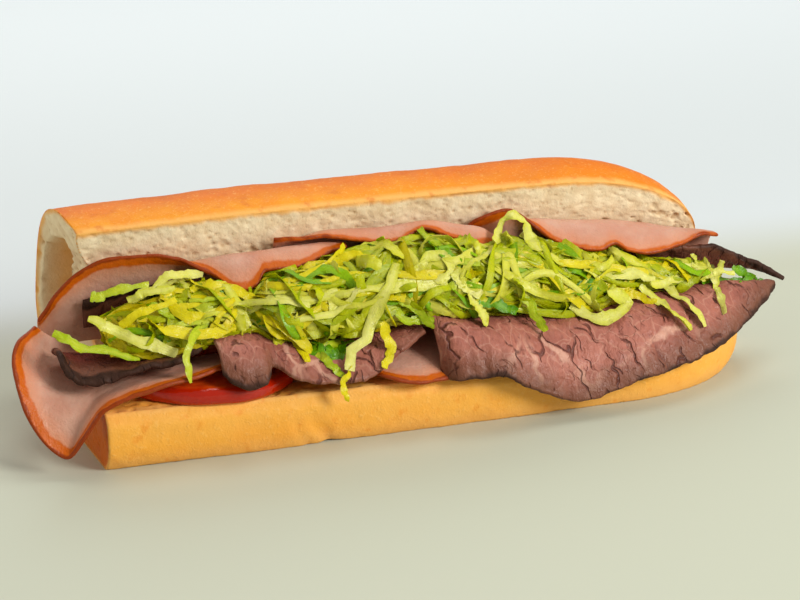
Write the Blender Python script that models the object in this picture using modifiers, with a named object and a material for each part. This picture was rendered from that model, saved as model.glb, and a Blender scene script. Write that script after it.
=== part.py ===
"""An open submarine sandwich: a hinged roll with ham, roast beef, tomato and shredded lettuce.

Shapes are worked out in the loaf's own frame, in millimetres: x from the cut end, y from the front
of the lower half towards the hinge, z from the board. The last step moves them to the part's frame.
"""

import math
import random

import bmesh
import bpy
import numpy as np
from mathutils import Matrix
from mathutils.bvhtree import BVHTree

# Driving dimensions, in millimetres and degrees
MM = 0.001
ORIGIN = (122.2, 35.5, 0.0)
BASE_LENGTH = 251.5
BASE_WIDTH = 67.0
BASE_DEPTH = 27.0
BASE_WIDEST = 8.0
BASE_ROUNDNESS = 3.2
BASE_ROUND_END = 56.0
BASE_SWELLS = ((0.02, 23.0), (0.012, 9.5))
DISH_DEPTH = 1.2
CUT_HEIGHTS = [(0, 22.0), (60, 20.0), (120, 19.0), (200, 18.5), (256, 17.0)]
LID_LENGTH = 241.5
LID_WIDTH = 62.0
LID_DEPTH = 30.0
LID_WIDEST = 9.0
LID_ROUNDNESS = 2.9
LID_ROUND_END = 62.0
LID_SWELLS = ((0.03, 31.0), (0.012, 8.0))
LID_WIDTH_SWELLS = ((0.03, 55.0),)
LID_ANGLE = 78.0
HINGE = (53.7, 19.2)
HINGE_INSET = 6.0
HOLLOW_DEPTHS = (9.0, 3.2)
HOLLOW_FADE = 30.0
HOLLOW_SPAN = (3.0, 33.0)
BASE_END = (0.9, 0.12)
LID_END = (12.4, 0.26)
SLANT_FADE = 90.0
HAM_THICKNESS = 1.6
BEEF_THICKNESS = 2.2
TOMATO_RADII = (31.0, 24.0)
TOMATO_THICKNESS = 5.4
TOMATO_CENTRE = (42.5, 25.2, 24.0)
TOMATO_TILT = 2.6
TOMATO_ROUNDING = 1.2
SHRED_THICKNESS = 1.0
SHRED_WIDTHS = (3.0, 6.0)
SHRED_LENGTHS = (26.0, 58.0)
SHRED_LIFTS = (1.5, 6.0)
SHRED_TWIST = 35.0
SHRED_HEADING = 75.0
SHRED_COUNT = 38
SHRED_SEED = 7
SHARPEST_BEND = 0.5
SHRED_TRIES = 900
SLICE_STEP = 6.0
SLICE_POINTS = 7
CORNER_POINTS = 23
CLEARANCE = 0.5

# A slice is a sheet through three lines along the loaf, each a few stations of (x, y, z):
# its root by the hinge, its crest, and its rim. bulge rounds it outward between crest and rim.
SLICES = {
    "ham_back_left": dict(
        kind="ham", bulge=1.5,
        root=[(-14, 45, 35), (0, 46.3, 31), (60, 46, 32), (78, 43.6, 33), (98, 41, 46)],
        crest=[(-14, 43, 40), (0, 44, 47), (14, 42.4, 55), (36, 41.8, 57), (57, 37, 61),
               (86, 38, 60.8), (98, 40, 59)],
        rim=[(-14, 39.8, 43.3), (-8, 41.4, 51.4), (0, 41.4, 58.6), (13, 40.2, 64.2),
             (27, 38.8, 64.3), (36, 37, 62.4), (46, 32, 57), (57, 25.5, 50.8), (61.5, 26, 52.4),
             (66, 28.5, 56.6), (78, 28.5, 56.6), (90, 32.4, 58.8), (98, 35.5, 59.6)],
    ),
    "ham_back_middle": dict(
        kind="ham", bulge=0.6,
        root=[(72, 45.8, 46), (84, 47, 38), (128, 47, 38), (142, 42.6, 40), (156, 40.8, 46)],
        crest=[(72, 43.4, 58), (95, 41.4, 64), (112, 40.6, 63.6), (127, 40, 64.4),
               (142, 37.2, 62.2), (149, 36, 60.6), (156, 37, 55.4)],
        rim=[(72, 40.2, 64.8), (80, 37.2, 65), (95, 35.2, 63.4), (115, 32.6, 60.4),
             (127, 35, 63.6), (138, 31.4, 59.5), (149, 29, 56.3), (156, 34.4, 57.4)],
    ),
    "ham_back_right": dict(
        kind="ham", bulge=2.0,
        root=[(142, 46.2, 44), (155, 47, 32), (214, 47, 31), (244, 43.6, 37)],
        crest=[(142, 44.6, 50), (158, 41.9, 58.4), (172, 40.6, 59.8), (184, 40, 58.6),
               (205, 39.6, 55.8), (226, 39.4, 51), (244, 38.6, 47)],
        rim=[(142, 42.4, 56.6), (150, 40.7, 63.5), (161, 39.6, 65.7), (169, 35.6, 60.9),
             (175, 32, 55), (183, 28.8, 51.6), (194, 27, 50), (199.5, 28.4, 51.2),
             (204, 26.2, 48.8), (213, 26, 46.9), (226, 28.4, 47.9), (236, 31.6, 49.8),
             (244, 33.2, 48.2)],
    ),
    "ham_front_middle": dict(
        kind="ham", bulge=0.6,
        root=[(95, 34, 24.6), (144, 34, 24.6)],
        crest=[(95, 16, 25.2), (144, 15, 24.2)],
        rim=[(95, 6, 24.6), (101, -1.5, 23.4), (108, -4, 21.2), (114, -4.6, 20.2), (119, -3, 20.2),
             (134, -1.5, 20.4), (144, 2, 21)],
    ),
    "beef_front_right": dict(
        kind="beef", bulge=4.5,
        root=[(121, 42, 28.4), (224, 41, 28.4), (265, 30.6, 27.2)],
        crest=[(121, 12, 37.6), (140, 12, 34.4), (164, 13, 31), (186, 13.5, 29.6),
               (211, 18, 30.6), (236, 26, 31), (257, 29, 29.6), (265, 28.2, 27.6)],
        rim=[(121, -5.6, 19), (130, -7, 19.8), (141, -8.4, 20.6), (152, -8.8, 15),
             (163, -9, 9.8), (173, -9, 6.8), (184, -9, 8.2), (197, -8.2, 11.6),
             (210, -5.6, 12.8), (223, -1.8, 14.2),
             (245, 10.4, 18.6), (258, 20, 23.6), (265, 25.6, 26.4)],
    ),
    "beef_front_middle": dict(
        kind="beef", bulge=2.0,
        root=[(42, 40, 29), (119.5, 38, 28.6)],
        crest=[(42, 9, 38.6), (50, 8, 39.4), (57, 9, 38.8), (62, 14, 36.4), (80, 12, 32.6),
               (93, 12, 31.2), (106, 13, 33), (119.5, 16, 33.4)],
        rim=[(42, -1.6, 32.4), (46, -5, 28.4), (51, -6, 26.4), (56, -5.4, 27), (60.5, 1.8, 31.6),
             (67, -3, 27.4), (80, -4, 23.8), (93, -3, 23.6), (104, 0.6, 28.4), (113, 5, 31.6),
             (119.5, 9.6, 33)],
    ),
    "beef_front_left": dict(
        kind="beef", bulge=0.5,
        root=[(-12, 27, 37.6), (-7, 30, 33.2), (38.5, 34, 32.6)],
        crest=[(-12, 20, 39), (-9, 20, 35), (-3, 20, 33), (18, 19, 34), (38.5, 21, 35.6)],
        rim=[(-12, 13.4, 37.2), (-9.5, 9.6, 32.8), (-4.5, 6.6, 31.6), (5, 5, 33.2), (18, 4.5, 35),
             (30, 6, 36.4), (38.5, 12, 37.8)],
    ),
    "beef_back_left": dict(
        kind="beef", bulge=0.5,
        root=[(2, 42.2, 38), (37, 42.6, 38)],
        crest=[(2, 41, 43), (19, 40.4, 46), (37, 41, 44)],
        rim=[(2, 38.4, 49), (9, 37.4, 52), (19, 36.8, 53.6), (30, 37, 53.6), (37, 38.4, 51.4)],
    ),
    "beef_back_right": dict(
        kind="beef", bulge=0.5,
        root=[(190, 43.2, 36), (230, 41.6, 33.4), (252, 37.2, 33), (272, 31.4, 28.6)],
        crest=[(190, 41.8, 40), (216, 39.6, 39.6), (241, 36.6, 38.2), (262, 33.2, 33),
               (272, 31, 29)],
        rim=[(190, 39.4, 44.6), (201, 36.8, 46), (216, 34.8, 44.6), (241, 33, 41.6),
             (252, 32.6, 38.4), (262, 32, 34.8), (272, 30.6, 29.6)],
    ),
}

# The slice that hangs out of the cut end fans round the loaf's corner. Its first number is the
# share of the way round, then x, y and z.
HAM_CORNER = dict(
    root=[(0, -3, 44, 30.6), (0.3, 0, 34, 28.9), (0.55, 5, 21, 28.7), (0.75, 18, 21, 29.6),
          (1, 46, 24, 29.4)],
    crest=[(0, -10.5, 38.5, 37.5), (0.22, -15, 24.5, 30.4), (0.36, -12.5, 14.5, 25.8),
           (0.5, -4, 8.5, 22.8), (0.62, 2, 8, 26), (0.8, 20, 9, 30), (1, 46, 14, 30.6)],
    rim=[(0, -16, 32.5, 44.5), (0.1, -24, 25, 42.6), (0.22, -27.5, 17.5, 35.6),
         (0.34, -26, 9.5, 25.2), (0.43, -21, 3.2, 14.2), (0.5, -13.5, 0.3, 7.6),
         (0.56, -9, -1.4, 14), (0.64, 0, -2.8, 25.4), (0.76, 16.6, -2.9, 30.6),
         (0.88, 32, -0.8, 32.4), (1, 46, 5, 32.6)],
)

# The heap's core, an oval tube: x, then the centre's y and z, and its half width and half height.
LETTUCE_CORE = [
    (-6, 23, 40.5, 4, 2.5), (4, 22.5, 41.5, 8, 3.5), (20, 22.5, 43.5, 10, 4.5),
    (36, 25, 46, 9.5, 4.5), (48, 24.5, 46.8, 8.5, 4.2), (57, 27, 44, 7, 3),
    (66, 21.5, 46.6, 9.5, 5.2), (80, 23.5, 46.8, 12, 7), (104, 25, 48.5, 13.5, 8.5),
    (122, 26, 49.2, 12, 8), (150, 25.4, 46.6, 12, 7.6), (175, 27.5, 43.6, 11.5, 6),
    (200, 27, 40.8, 8.5, 5), (228, 26.8, 38.4, 5.5, 3.3), (246, 28, 36.4, 3, 2.2),
]
LETTUCE_TILT = 36.0

# Shreds that hang out of the heap: their centre lines from in the core, as (x, y, z).
HANGING_SHREDS = [
    [(98, 14, 44), (94, 4, 40), (90.5, -5, 31), (89, -7.6, 20)],
    [(108, 16, 45), (106, 6, 41), (103.5, -0.5, 34)],
    [(46, 18, 46.5), (40, 6, 43.5), (37, -2.6, 35)],
    [(200, 22, 42), (210, 12, 38.6), (217, 5, 33.4)],
    [(222, 25, 40), (223, 17, 39), (224, 11, 34.8)],
    [(236, 25, 38.6), (244, 19, 37.4), (250, 15, 33.6)],
    [(14, 18, 43), (0, 14, 44.4), (-12, 15, 42.6)],
]
HANGING_WIDTH = 3.6

COLOURS = {
    "crust": ((0.80, 0.42, 0.13), 0.5),
    "ham": ((0.78, 0.45, 0.38), 0.35),
    "beef": ((0.36, 0.13, 0.12), 0.4),
    "tomato": ((0.70, 0.09, 0.04), 0.2),
    "lettuce": ((0.55, 0.66, 0.13), 0.35),
}


def clear_scene():
    for thing in list(bpy.data.objects):
        bpy.data.objects.remove(thing)


def make_material(name):
    colour, roughness = COLOURS[name]
    material = bpy.data.materials.get(name) or bpy.data.materials.new(name)
    material.use_nodes = True
    shader = material.node_tree.nodes["Principled BSDF"]
    shader.inputs["Base Color"].default_value = (*colour, 1)
    shader.inputs["Roughness"].default_value = roughness
    shader.inputs["Metallic"].default_value = 0.0
    return material


def along(stations, at):
    """Values at positions `at` on a smooth curve through the stations, each a position and values.

    The slope at a station is the harmonic mean of its neighbours', so the curve never overshoots.
    """
    table = np.array(stations, float)
    knots, values = table[:, 0], table[:, 1:]
    step = np.diff(knots)[:, None]
    slope = np.diff(values, axis=0) / step
    before, after = slope[:-1], slope[1:]
    same_way = before * after > 0
    safe_before, safe_after = np.where(same_way, before, 1), np.where(same_way, after, 1)
    near, far = 2 * step[1:] + step[:-1], step[1:] + 2 * step[:-1]
    mean = (near + far) / (near / safe_before + far / safe_after)
    tangent = np.vstack([slope[:1], np.where(same_way, mean, 0), slope[-1:]])
    at = np.clip(np.asarray(at, float), knots[0], knots[-1])
    i = np.clip(np.searchsorted(knots, at, side="right") - 1, 0, len(step) - 1)
    t = (at - knots[i])[:, None] / step[i]
    return hermite(values[i], values[i + 1], tangent[i] * step[i], tangent[i + 1] * step[i], t)


def hermite(start, end, leave, arrive, t):
    """A cubic from start to end with the given slopes at its two ends, at the shares t."""
    return (
        start * (2 * t**3 - 3 * t**2 + 1)
        + leave * (t**3 - 2 * t**2 + t)
        + end * (3 * t**2 - 2 * t**3)
        + arrive * (t**3 - t**2)
    )


def add_object(name, points, faces, material, collection):
    mesh = bpy.data.meshes.new(name)
    placed = (np.asarray(points, float).reshape(-1, 3) - ORIGIN) * MM
    mesh.from_pydata(placed.tolist(), [], faces)
    mesh.validate()
    thing = bpy.data.objects.new(name, mesh)
    mesh.materials.append(make_material(material))
    collection.objects.link(thing)
    return thing


def grid_faces(rows, columns, wrap=False):
    """Quads of a grid of points, row by row. wrap joins the last column to the first."""
    wide = columns if wrap else columns - 1
    return [
        (r * columns + c, r * columns + (c + 1) % columns,
         (r + 1) * columns + (c + 1) % columns, (r + 1) * columns + c)
        for r in range(rows - 1)
        for c in range(wide)
    ]


def closed_strip(rings):
    """Points and faces of a closed solid through rings of equal point counts, capped at its ends."""
    rings = np.asarray(rings, float)
    rows, columns = rings.shape[:2]
    faces = grid_faces(rows, columns, wrap=True)
    faces.append(tuple(reversed(range(columns))))
    faces.append(tuple((rows - 1) * columns + c for c in range(columns)))
    return rings.reshape(-1, 3), faces


def loft(name, rings, material, collection):
    points, faces = closed_strip(rings)
    thing = add_object(name, points, faces, material, collection)
    face_outward(thing)
    return thing


def face_outward(thing):
    bm = bmesh.new()
    bm.from_mesh(thing.data)
    bmesh.ops.recalc_face_normals(bm, faces=bm.faces)
    bm.to_mesh(thing.data)
    bm.free()


def shade_smooth(thing, angle):
    thing.data.shade_smooth()
    thing.data.set_sharp_from_angle(angle=math.radians(angle))


def crust_profile(width, depth, widest, roundness, count):
    """Half a loaf's crust as (across, away from the cut) pairs, a superellipse from edge to edge.

    The loaf is widest a little behind the cut, so the profile starts before the ellipse's middle.
    """
    low = math.asin((widest / (depth - widest)) ** (roundness / 2))
    turn = np.linspace(-low, math.pi + low, count)
    across = -np.sign(np.cos(turn)) * np.abs(np.cos(turn)) ** (2 / roundness) * width / 2
    away = np.sign(np.sin(turn)) * np.abs(np.sin(turn)) ** (2 / roundness) * (depth - widest)
    return across, away + widest


def end_scale(x, length, round_end):
    """How much of a loaf's full width is left at x, falling as an ellipse over its rounded end."""
    share = np.clip((x - (length - round_end)) / round_end, 0, 1)
    return math.sqrt(max(1 - share**2, 0.004))


def loaf_stations(length, round_end):
    straight = np.linspace(0, length - round_end, 12)
    turn = np.linspace(0, math.pi / 2, 9)[1:-1]
    return np.concatenate([straight, length - round_end + round_end * np.sin(turn), [length - 0.1]])


def swell(x, waves):
    """A factor near 1 that makes the loaf uneven along its length: waves of a share and a length."""
    return 1 + sum(share * math.sin(x / length) for share, length in waves)


def slanted(x, y, z, end):
    """A ring's points. Near the cut end the ring leans to the slant of the cut."""
    at_front, slant = end
    fade = max(0, 1 - x / SLANT_FADE)
    return np.column_stack([x + (at_front - slant * y) * fade, y, z])


def base_ring(x):
    """Section of the lower half: crust below, its flat foot on the board, and a dished cut face."""
    scale = end_scale(x, BASE_LENGTH, BASE_ROUND_END)
    top = along(CUT_HEIGHTS, [x])[0, 0]
    depth = BASE_DEPTH * swell(x, BASE_SWELLS)
    across, away = crust_profile(BASE_WIDTH, depth, BASE_WIDEST, BASE_ROUNDNESS, 21)
    y = BASE_WIDTH / 2 - 1 + across * scale
    z = np.maximum(top - away * scale**0.55, 0)
    face = np.linspace(0, 1, 8)[1:-1]
    face_y = y[-1] + (y[0] - y[-1]) * face
    dish = DISH_DEPTH * np.sin(math.pi * face) * scale
    return slanted(x, np.append(y, face_y), np.append(z, top - dish), BASE_END)


def lid_ring(x):
    """Section of the upper half, swung open on the hinge, with the torn hollow beside the hinge."""
    scale = end_scale(x, LID_LENGTH, LID_ROUND_END)
    width = LID_WIDTH * swell(x, LID_WIDTH_SWELLS)
    depth = LID_DEPTH * swell(x, LID_SWELLS)
    across, away = crust_profile(width, depth, LID_WIDEST, LID_ROUNDNESS, 23)
    middle = LID_WIDTH / 2 - HINGE_INSET
    face = np.linspace(across[-1], across[0], 12)[1:-1]
    low, high = HOLLOW_SPAN
    inside = np.clip((middle - face - low) / (high - low), 0, 1)
    at_end, further_in = HOLLOW_DEPTHS
    hollow_depth = further_in + (at_end - further_in) * math.exp(-x / HOLLOW_FADE)
    up = middle - np.append(across, face) * scale
    out = np.append(away, hollow_depth * np.sin(math.pi * inside) ** 0.7) * scale
    swing = math.radians(LID_ANGLE)
    y = HINGE[0] - up * math.cos(swing) + out * math.sin(swing)
    z = HINGE[1] + up * math.sin(swing) + out * math.cos(swing)
    return slanted(x, y, z, LID_END)


def make_roll(collection, guides):
    """The roll is one piece: both halves joined where the bread was left uncut."""
    base_stations = loaf_stations(BASE_LENGTH, BASE_ROUND_END)
    lid_stations = loaf_stations(LID_LENGTH, LID_ROUND_END)
    roll = loft("roll", [base_ring(x) for x in base_stations], "crust", collection)
    lid = loft("lid_guide", [lid_ring(x) for x in lid_stations], "crust", guides)
    lid.hide_render = True
    lid.display_type = "WIRE"
    boolean = roll.modifiers.new("hinge", "BOOLEAN")
    boolean.operation = "UNION"
    boolean.solver = "EXACT"
    boolean.object = lid
    shade_smooth(roll, 40)
    return roll


def section_blend(root, crest, rim, bulge, count):
    """Points across a sheet: a smooth line from root over crest to rim.

    The part that hangs down from the crest is rounded out by bulge.
    """
    lower, upper = crest - root, rim - crest
    lengths = [np.linalg.norm(part, axis=1) for part in (lower, upper)]
    share = np.clip(lengths[0] / (lengths[0] + lengths[1]), 0.25, 0.75)[:, None, None]
    t = np.linspace(0, 1, count)[None, :, None]
    root, crest, rim, lower, upper = (part[:, None] for part in (root, crest, rim, lower, upper))
    over_crest = (lower / share + upper / (1 - share)) / 2
    behind = hermite(root, crest, lower, over_crest * share, t / share)
    over = np.clip((t - share) / (1 - share), 0, 1)
    ahead = hermite(crest, rim, over_crest * (1 - share), upper, over)
    outward = np.cross(upper, np.array([1.0, 0, 0]))
    outward /= np.maximum(np.linalg.norm(outward, axis=2, keepdims=True), 1e-6)
    hanging = np.clip(-upper[:, :, 2:] / np.linalg.norm(upper, axis=2, keepdims=True), 0, 1)
    round_out = outward * bulge * hanging * np.sin(math.pi * over)
    return np.where(t < share, behind, ahead) + round_out


def make_slice(name, lines, positions, bulge, thickness, material, collection):
    root, crest, rim = (along(lines[key], positions) for key in ("root", "crest", "rim"))
    if root.shape[1] == 2:
        column = positions[:, None]
        root, crest, rim = (np.hstack([column, line]) for line in (root, crest, rim))
    grid = section_blend(root, crest, rim, bulge, SLICE_POINTS)
    faces = grid_faces(len(positions), SLICE_POINTS)
    sheet = add_object(name, grid, faces, material, collection)
    solid = sheet.modifiers.new("thickness", "SOLIDIFY")
    solid.thickness = thickness * MM
    solid.offset = 0
    solid.use_even_offset = True
    shade_smooth(sheet, 50)
    return sheet


def make_slices(collection):
    thickness = {"ham": HAM_THICKNESS, "beef": BEEF_THICKNESS}
    for name, lines in SLICES.items():
        kind = lines["kind"]
        start, end = lines["rim"][0][0], lines["rim"][-1][0]
        count = max(9, round((end - start) / SLICE_STEP) + 1)
        positions = np.linspace(start, end, count)
        make_slice(name, lines, positions, lines["bulge"], thickness[kind], kind, collection)
    positions = np.linspace(0, 1, CORNER_POINTS)
    make_slice("ham_front_left", HAM_CORNER, positions, 0.0, HAM_THICKNESS, "ham", collection)


def make_tomato(collection):
    """An oval slice with rounded skin, lying on the lower half under the ham."""
    bpy.ops.mesh.primitive_cylinder_add(vertices=28, radius=1, depth=1)
    tomato = bpy.context.object
    tomato.name = "tomato_slice"
    size = Matrix.Diagonal((*TOMATO_RADII, TOMATO_THICKNESS, 1))
    tilt = Matrix.Rotation(math.radians(TOMATO_TILT), 4, "Y")
    place = Matrix.Translation([centre - origin for centre, origin in zip(TOMATO_CENTRE, ORIGIN)])
    tomato.data.transform(Matrix.Scale(MM, 4) @ place @ tilt @ size)
    bevel = tomato.modifiers.new("skin", "BEVEL")
    bevel.width = TOMATO_ROUNDING * MM
    bevel.segments = 2
    bevel.limit_method = "ANGLE"
    for other in list(tomato.users_collection):
        other.objects.unlink(tomato)
    collection.objects.link(tomato)
    tomato.data.materials.append(make_material("tomato"))
    shade_smooth(tomato, 40)
    return tomato


def core_ring(x, sides):
    """Section of the heap's core: an oval leaning back with the lid, made uneven by waves."""
    y, z, wide, high = along(LETTUCE_CORE, [x])[0]
    turn = np.linspace(0, 2 * math.pi, sides, endpoint=False)
    uneven = 1 + 0.05 * np.sin(3 * turn + x / 7) + 0.04 * np.sin(x / 5 + 2 * turn)
    tilt = math.radians(LETTUCE_TILT)
    across, rise = wide * np.cos(turn) * uneven, high * np.sin(turn) * uneven
    return np.column_stack([
        np.full(sides, x),
        y + across * math.cos(tilt) - rise * math.sin(tilt),
        z + across * math.sin(tilt) + rise * math.cos(tilt),
    ])


def shred_rings(centres, facing, width, thickness):
    """Rectangular sections along a strip, from its centre line and the way its flat side faces."""
    ahead = np.gradient(centres, axis=0)
    ahead /= np.linalg.norm(ahead, axis=1, keepdims=True)
    side = np.cross(ahead, facing)
    side /= np.linalg.norm(side, axis=1, keepdims=True)
    flat = np.cross(side, ahead)
    taper = 1 - 0.45 * np.abs(np.linspace(-1, 1, len(centres)))[:, None] ** 3
    half, edge = width / 2 * taper, thickness / 2
    corners = [(1, 1), (-1, 1), (-1, -1), (1, -1)]
    return np.stack([centres + side * half * a + flat * edge * b for a, b in corners], axis=1)


def shred_path(x, angle, heading, length, lift):
    """A shred's centre line on the core, from in the core, out over it and back in, and its facing."""
    t = np.linspace(0, 1, 7)
    run = (t - 0.5) * length
    xs = x + run * math.cos(heading)
    y, z, wide, high = along(LETTUCE_CORE, xs).T
    girth = np.maximum((wide + high) / 2, 4)
    turn = angle + run * math.sin(heading) / girth
    out = 0.85 + (0.15 + lift / girth) * np.sin(math.pi * t) ** 0.7
    tilt = math.radians(LETTUCE_TILT)
    across, rise = wide * np.cos(turn) * out, high * np.sin(turn) * out
    away = np.column_stack([
        np.zeros(len(t)),
        across * math.cos(tilt) - rise * math.sin(tilt),
        across * math.sin(tilt) + rise * math.cos(tilt),
    ])
    return np.column_stack([xs, y, z]) + away, away


def shred_is_clear(centres, facing, width, obstacles):
    """Whether a shred with its clearance added crosses none of the other fillings or the roll."""
    wide = shred_rings(centres, facing, width + 2 * CLEARANCE, SHRED_THICKNESS + 2 * CLEARANCE)
    points, faces = closed_strip(wide)
    tree = BVHTree.FromPolygons(((points - ORIGIN) * MM).tolist(), faces)
    return not any(tree.overlap(obstacle) for obstacle in obstacles)


def shred_choices(seed):
    """Shreds spread evenly: each try steps on along the heap and round it by two unlike fractions."""
    chance = random.Random(seed)
    along_step, round_step = 0.754878, 0.569840
    start, end = LETTUCE_CORE[0][0], LETTUCE_CORE[-1][0]
    for i in range(SHRED_TRIES):
        x = start + (end - start) * ((i * along_step) % 1)
        angle = math.radians(20 + 190 * ((i * round_step) % 1))
        heading = math.radians(chance.uniform(-SHRED_HEADING, SHRED_HEADING))
        length = chance.uniform(*SHRED_LENGTHS)
        lift = chance.uniform(*SHRED_LIFTS)
        width = chance.uniform(*SHRED_WIDTHS)
        turn = math.radians(chance.uniform(-SHRED_TWIST, SHRED_TWIST))
        centres, facing = shred_path(x, angle, heading, length, lift)
        ahead = np.gradient(centres, axis=0)
        ahead /= np.linalg.norm(ahead, axis=1, keepdims=True)
        bends_gently = (ahead[1:] * ahead[:-1]).sum(axis=1).min() > SHARPEST_BEND
        if centres[:, 0].min() > start - 7 and centres[:, 0].max() < end + 5 and bends_gently:
            facing = facing * math.cos(turn) + np.cross(ahead, facing) * math.sin(turn)
            yield centres, facing, width


def hanging_shreds():
    """Shreds along given lines, smoothed, with their flat sides facing up and forward."""
    for line in HANGING_SHREDS:
        stations = [(i / (len(line) - 1), *point) for i, point in enumerate(line)]
        centres = along(stations, np.linspace(0, 1, 6))
        yield centres, np.tile((0.2, -0.7, 0.7), (len(centres), 1)), HANGING_WIDTH


def make_lettuce(collection):
    """One heap: an uneven core with the shreds that show fused on, spread evenly along the loaf."""
    depsgraph = bpy.context.evaluated_depsgraph_get()
    obstacles = [BVHTree.FromObject(thing, depsgraph) for thing in collection.objects]
    stations = np.linspace(LETTUCE_CORE[0][0], LETTUCE_CORE[-1][0], 22)
    heap = loft("lettuce", [core_ring(x, 10) for x in stations], "lettuce", collection)
    loose = bpy.data.collections.new("loose_shreds")
    bpy.context.scene.collection.children.link(loose)
    for centres, facing, width in [*hanging_shreds(), *shred_choices(SHRED_SEED)]:
        if len(loose.objects) < SHRED_COUNT and shred_is_clear(centres, facing, width, obstacles):
            loft("shred", shred_rings(centres, facing, width, SHRED_THICKNESS), "lettuce", loose)
    join(heap, loose)
    return heap


def join(thing, loose):
    """Fuse a collection's objects into one solid by a single Boolean union, then remove them."""
    boolean = thing.modifiers.new("fuse", "BOOLEAN")
    boolean.operation = "UNION"
    boolean.solver = "MANIFOLD"
    boolean.operand_type = "COLLECTION"
    boolean.collection = loose
    depsgraph = bpy.context.evaluated_depsgraph_get()
    fused = bpy.data.meshes.new_from_object(thing.evaluated_get(depsgraph))
    thing.modifiers.clear()
    thing.data = fused
    make_sound(fused)
    for piece in list(loose.objects):
        bpy.data.objects.remove(piece)
    bpy.data.collections.remove(loose)
    print("shreds fused,", len(fused.polygons), "faces")


def make_sound(mesh):
    """Turn a union's many-sided faces into triangles that meet two to an edge, in one outer shell.

    Points in the middle of a straight edge go first. Crossing shreds can seal off small pockets,
    so every shell but the largest is removed.
    """
    bm = bmesh.new()
    bm.from_mesh(mesh)
    bmesh.ops.dissolve_verts(bm, verts=[vert for vert in bm.verts if len(vert.link_edges) == 2])
    bmesh.ops.connect_verts_nonplanar(bm, angle_limit=0.001, faces=bm.faces)
    bmesh.ops.connect_verts_concave(bm, faces=bm.faces)
    bmesh.ops.triangulate(bm, faces=bm.faces, ngon_method="BEAUTY")
    shells, seen = [], set()
    for first in bm.faces:
        if first in seen:
            continue
        shell, reached = [], [first]
        seen.add(first)
        while reached:
            face = reached.pop()
            shell.append(face)
            for other in (near for edge in face.edges for near in edge.link_faces):
                if other not in seen:
                    seen.add(other)
                    reached.append(other)
        shells.append(shell)
    shells.sort(key=len)
    bmesh.ops.delete(bm, geom=[face for shell in shells[:-1] for face in shell], context="FACES")
    bm.to_mesh(mesh)
    bm.free()
    print("shells", [len(shell) for shell in shells])


def main():
    clear_scene()
    sandwich = bpy.data.collections.new("sandwich")
    guides = bpy.data.collections.new("guides")
    for collection in (sandwich, guides):
        bpy.context.scene.collection.children.link(collection)
    make_roll(sandwich, guides)
    make_tomato(sandwich)
    make_slices(sandwich)
    make_lettuce(sandwich)


main()
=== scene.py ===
import math
import bmesh
import bpy
import numpy as np
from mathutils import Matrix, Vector


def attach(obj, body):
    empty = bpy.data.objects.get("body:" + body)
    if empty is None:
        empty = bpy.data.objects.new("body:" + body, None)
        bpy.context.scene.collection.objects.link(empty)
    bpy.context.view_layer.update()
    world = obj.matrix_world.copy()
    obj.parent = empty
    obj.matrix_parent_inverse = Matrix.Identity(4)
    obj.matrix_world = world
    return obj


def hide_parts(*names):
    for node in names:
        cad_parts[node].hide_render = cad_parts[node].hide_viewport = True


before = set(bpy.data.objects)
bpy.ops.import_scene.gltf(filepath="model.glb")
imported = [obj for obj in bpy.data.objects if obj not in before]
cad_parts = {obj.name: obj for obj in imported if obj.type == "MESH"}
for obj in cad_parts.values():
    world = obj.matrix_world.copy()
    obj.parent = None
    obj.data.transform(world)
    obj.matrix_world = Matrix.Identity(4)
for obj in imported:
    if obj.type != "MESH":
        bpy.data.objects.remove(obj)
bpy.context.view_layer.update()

# Shapes are worked out in the loaf's own millimetres: x from the cut end, y from the open front, z from the board.
# placeInModel moves them to the model's metres.
loafOrigin = np.array((122.2, 35.5, 0.0))
metresPerMm = 0.001
seamGap, smallestEdge = 2e-6, 1e-6  # metres


def placeInModel(points):
    return (np.asarray(points, float) - loafOrigin) * metresPerMm


# ---- curves, noise and meshes that several pieces use

def along(stations, at):
    # cubic through the stations, slope at each = harmonic mean of its two neighbours' slopes, so it never overshoots
    table = np.array(stations, float)
    knots, values = table[:, 0], table[:, 1:]
    step = np.diff(knots)[:, None]
    slope = np.diff(values, axis=0) / step
    before, after = slope[:-1], slope[1:]
    sameWay = before * after > 0
    near, far = 2 * step[1:] + step[:-1], step[1:] + 2 * step[:-1]
    mean = (near + far) / (near / np.where(sameWay, before, 1) + far / np.where(sameWay, after, 1))
    tangent = np.vstack([slope[:1], np.where(sameWay, mean, 0), slope[-1:]])
    at = np.clip(np.asarray(at, float), knots[0], knots[-1])
    i = np.clip(np.searchsorted(knots, at, side="right") - 1, 0, len(step) - 1)
    t = (at - knots[i])[:, None] / step[i]
    return hermite(values[i], values[i + 1], tangent[i] * step[i], tangent[i + 1] * step[i], t)


def hermite(start, end, leave, arrive, t):
    # start(2t^3 - 3t^2 + 1) + leave(t^3 - 2t^2 + t) + end(3t^2 - 2t^3) + arrive(t^3 - t^2)
    return (start * (2 * t**3 - 3 * t**2 + 1) + leave * (t**3 - 2 * t**2 + t)
            + end * (3 * t**2 - 2 * t**3) + arrive * (t**3 - t**2))


def unit(vectors):
    return vectors / np.maximum(np.linalg.norm(vectors, axis=-1, keepdims=True), 1e-9)


def chanceAt(cells, seed):
    # a fixed number from 0 to 1 for every whole-number cell; the large numbers only stir the bits
    mixed = (cells[..., 0] * 73856093) ^ (cells[..., 1] * 19349663) ^ (cells[..., 2] * 83492791) ^ (seed * 6542989)
    mixed = (mixed ^ (mixed >> 13)) * 1274126177 & 0xFFFFFFFF
    mixed = (mixed ^ (mixed >> 15)) * 668265263 & 0xFFFFFFFF
    return ((mixed >> 8) & 0xFFFF) / 65535


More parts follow.
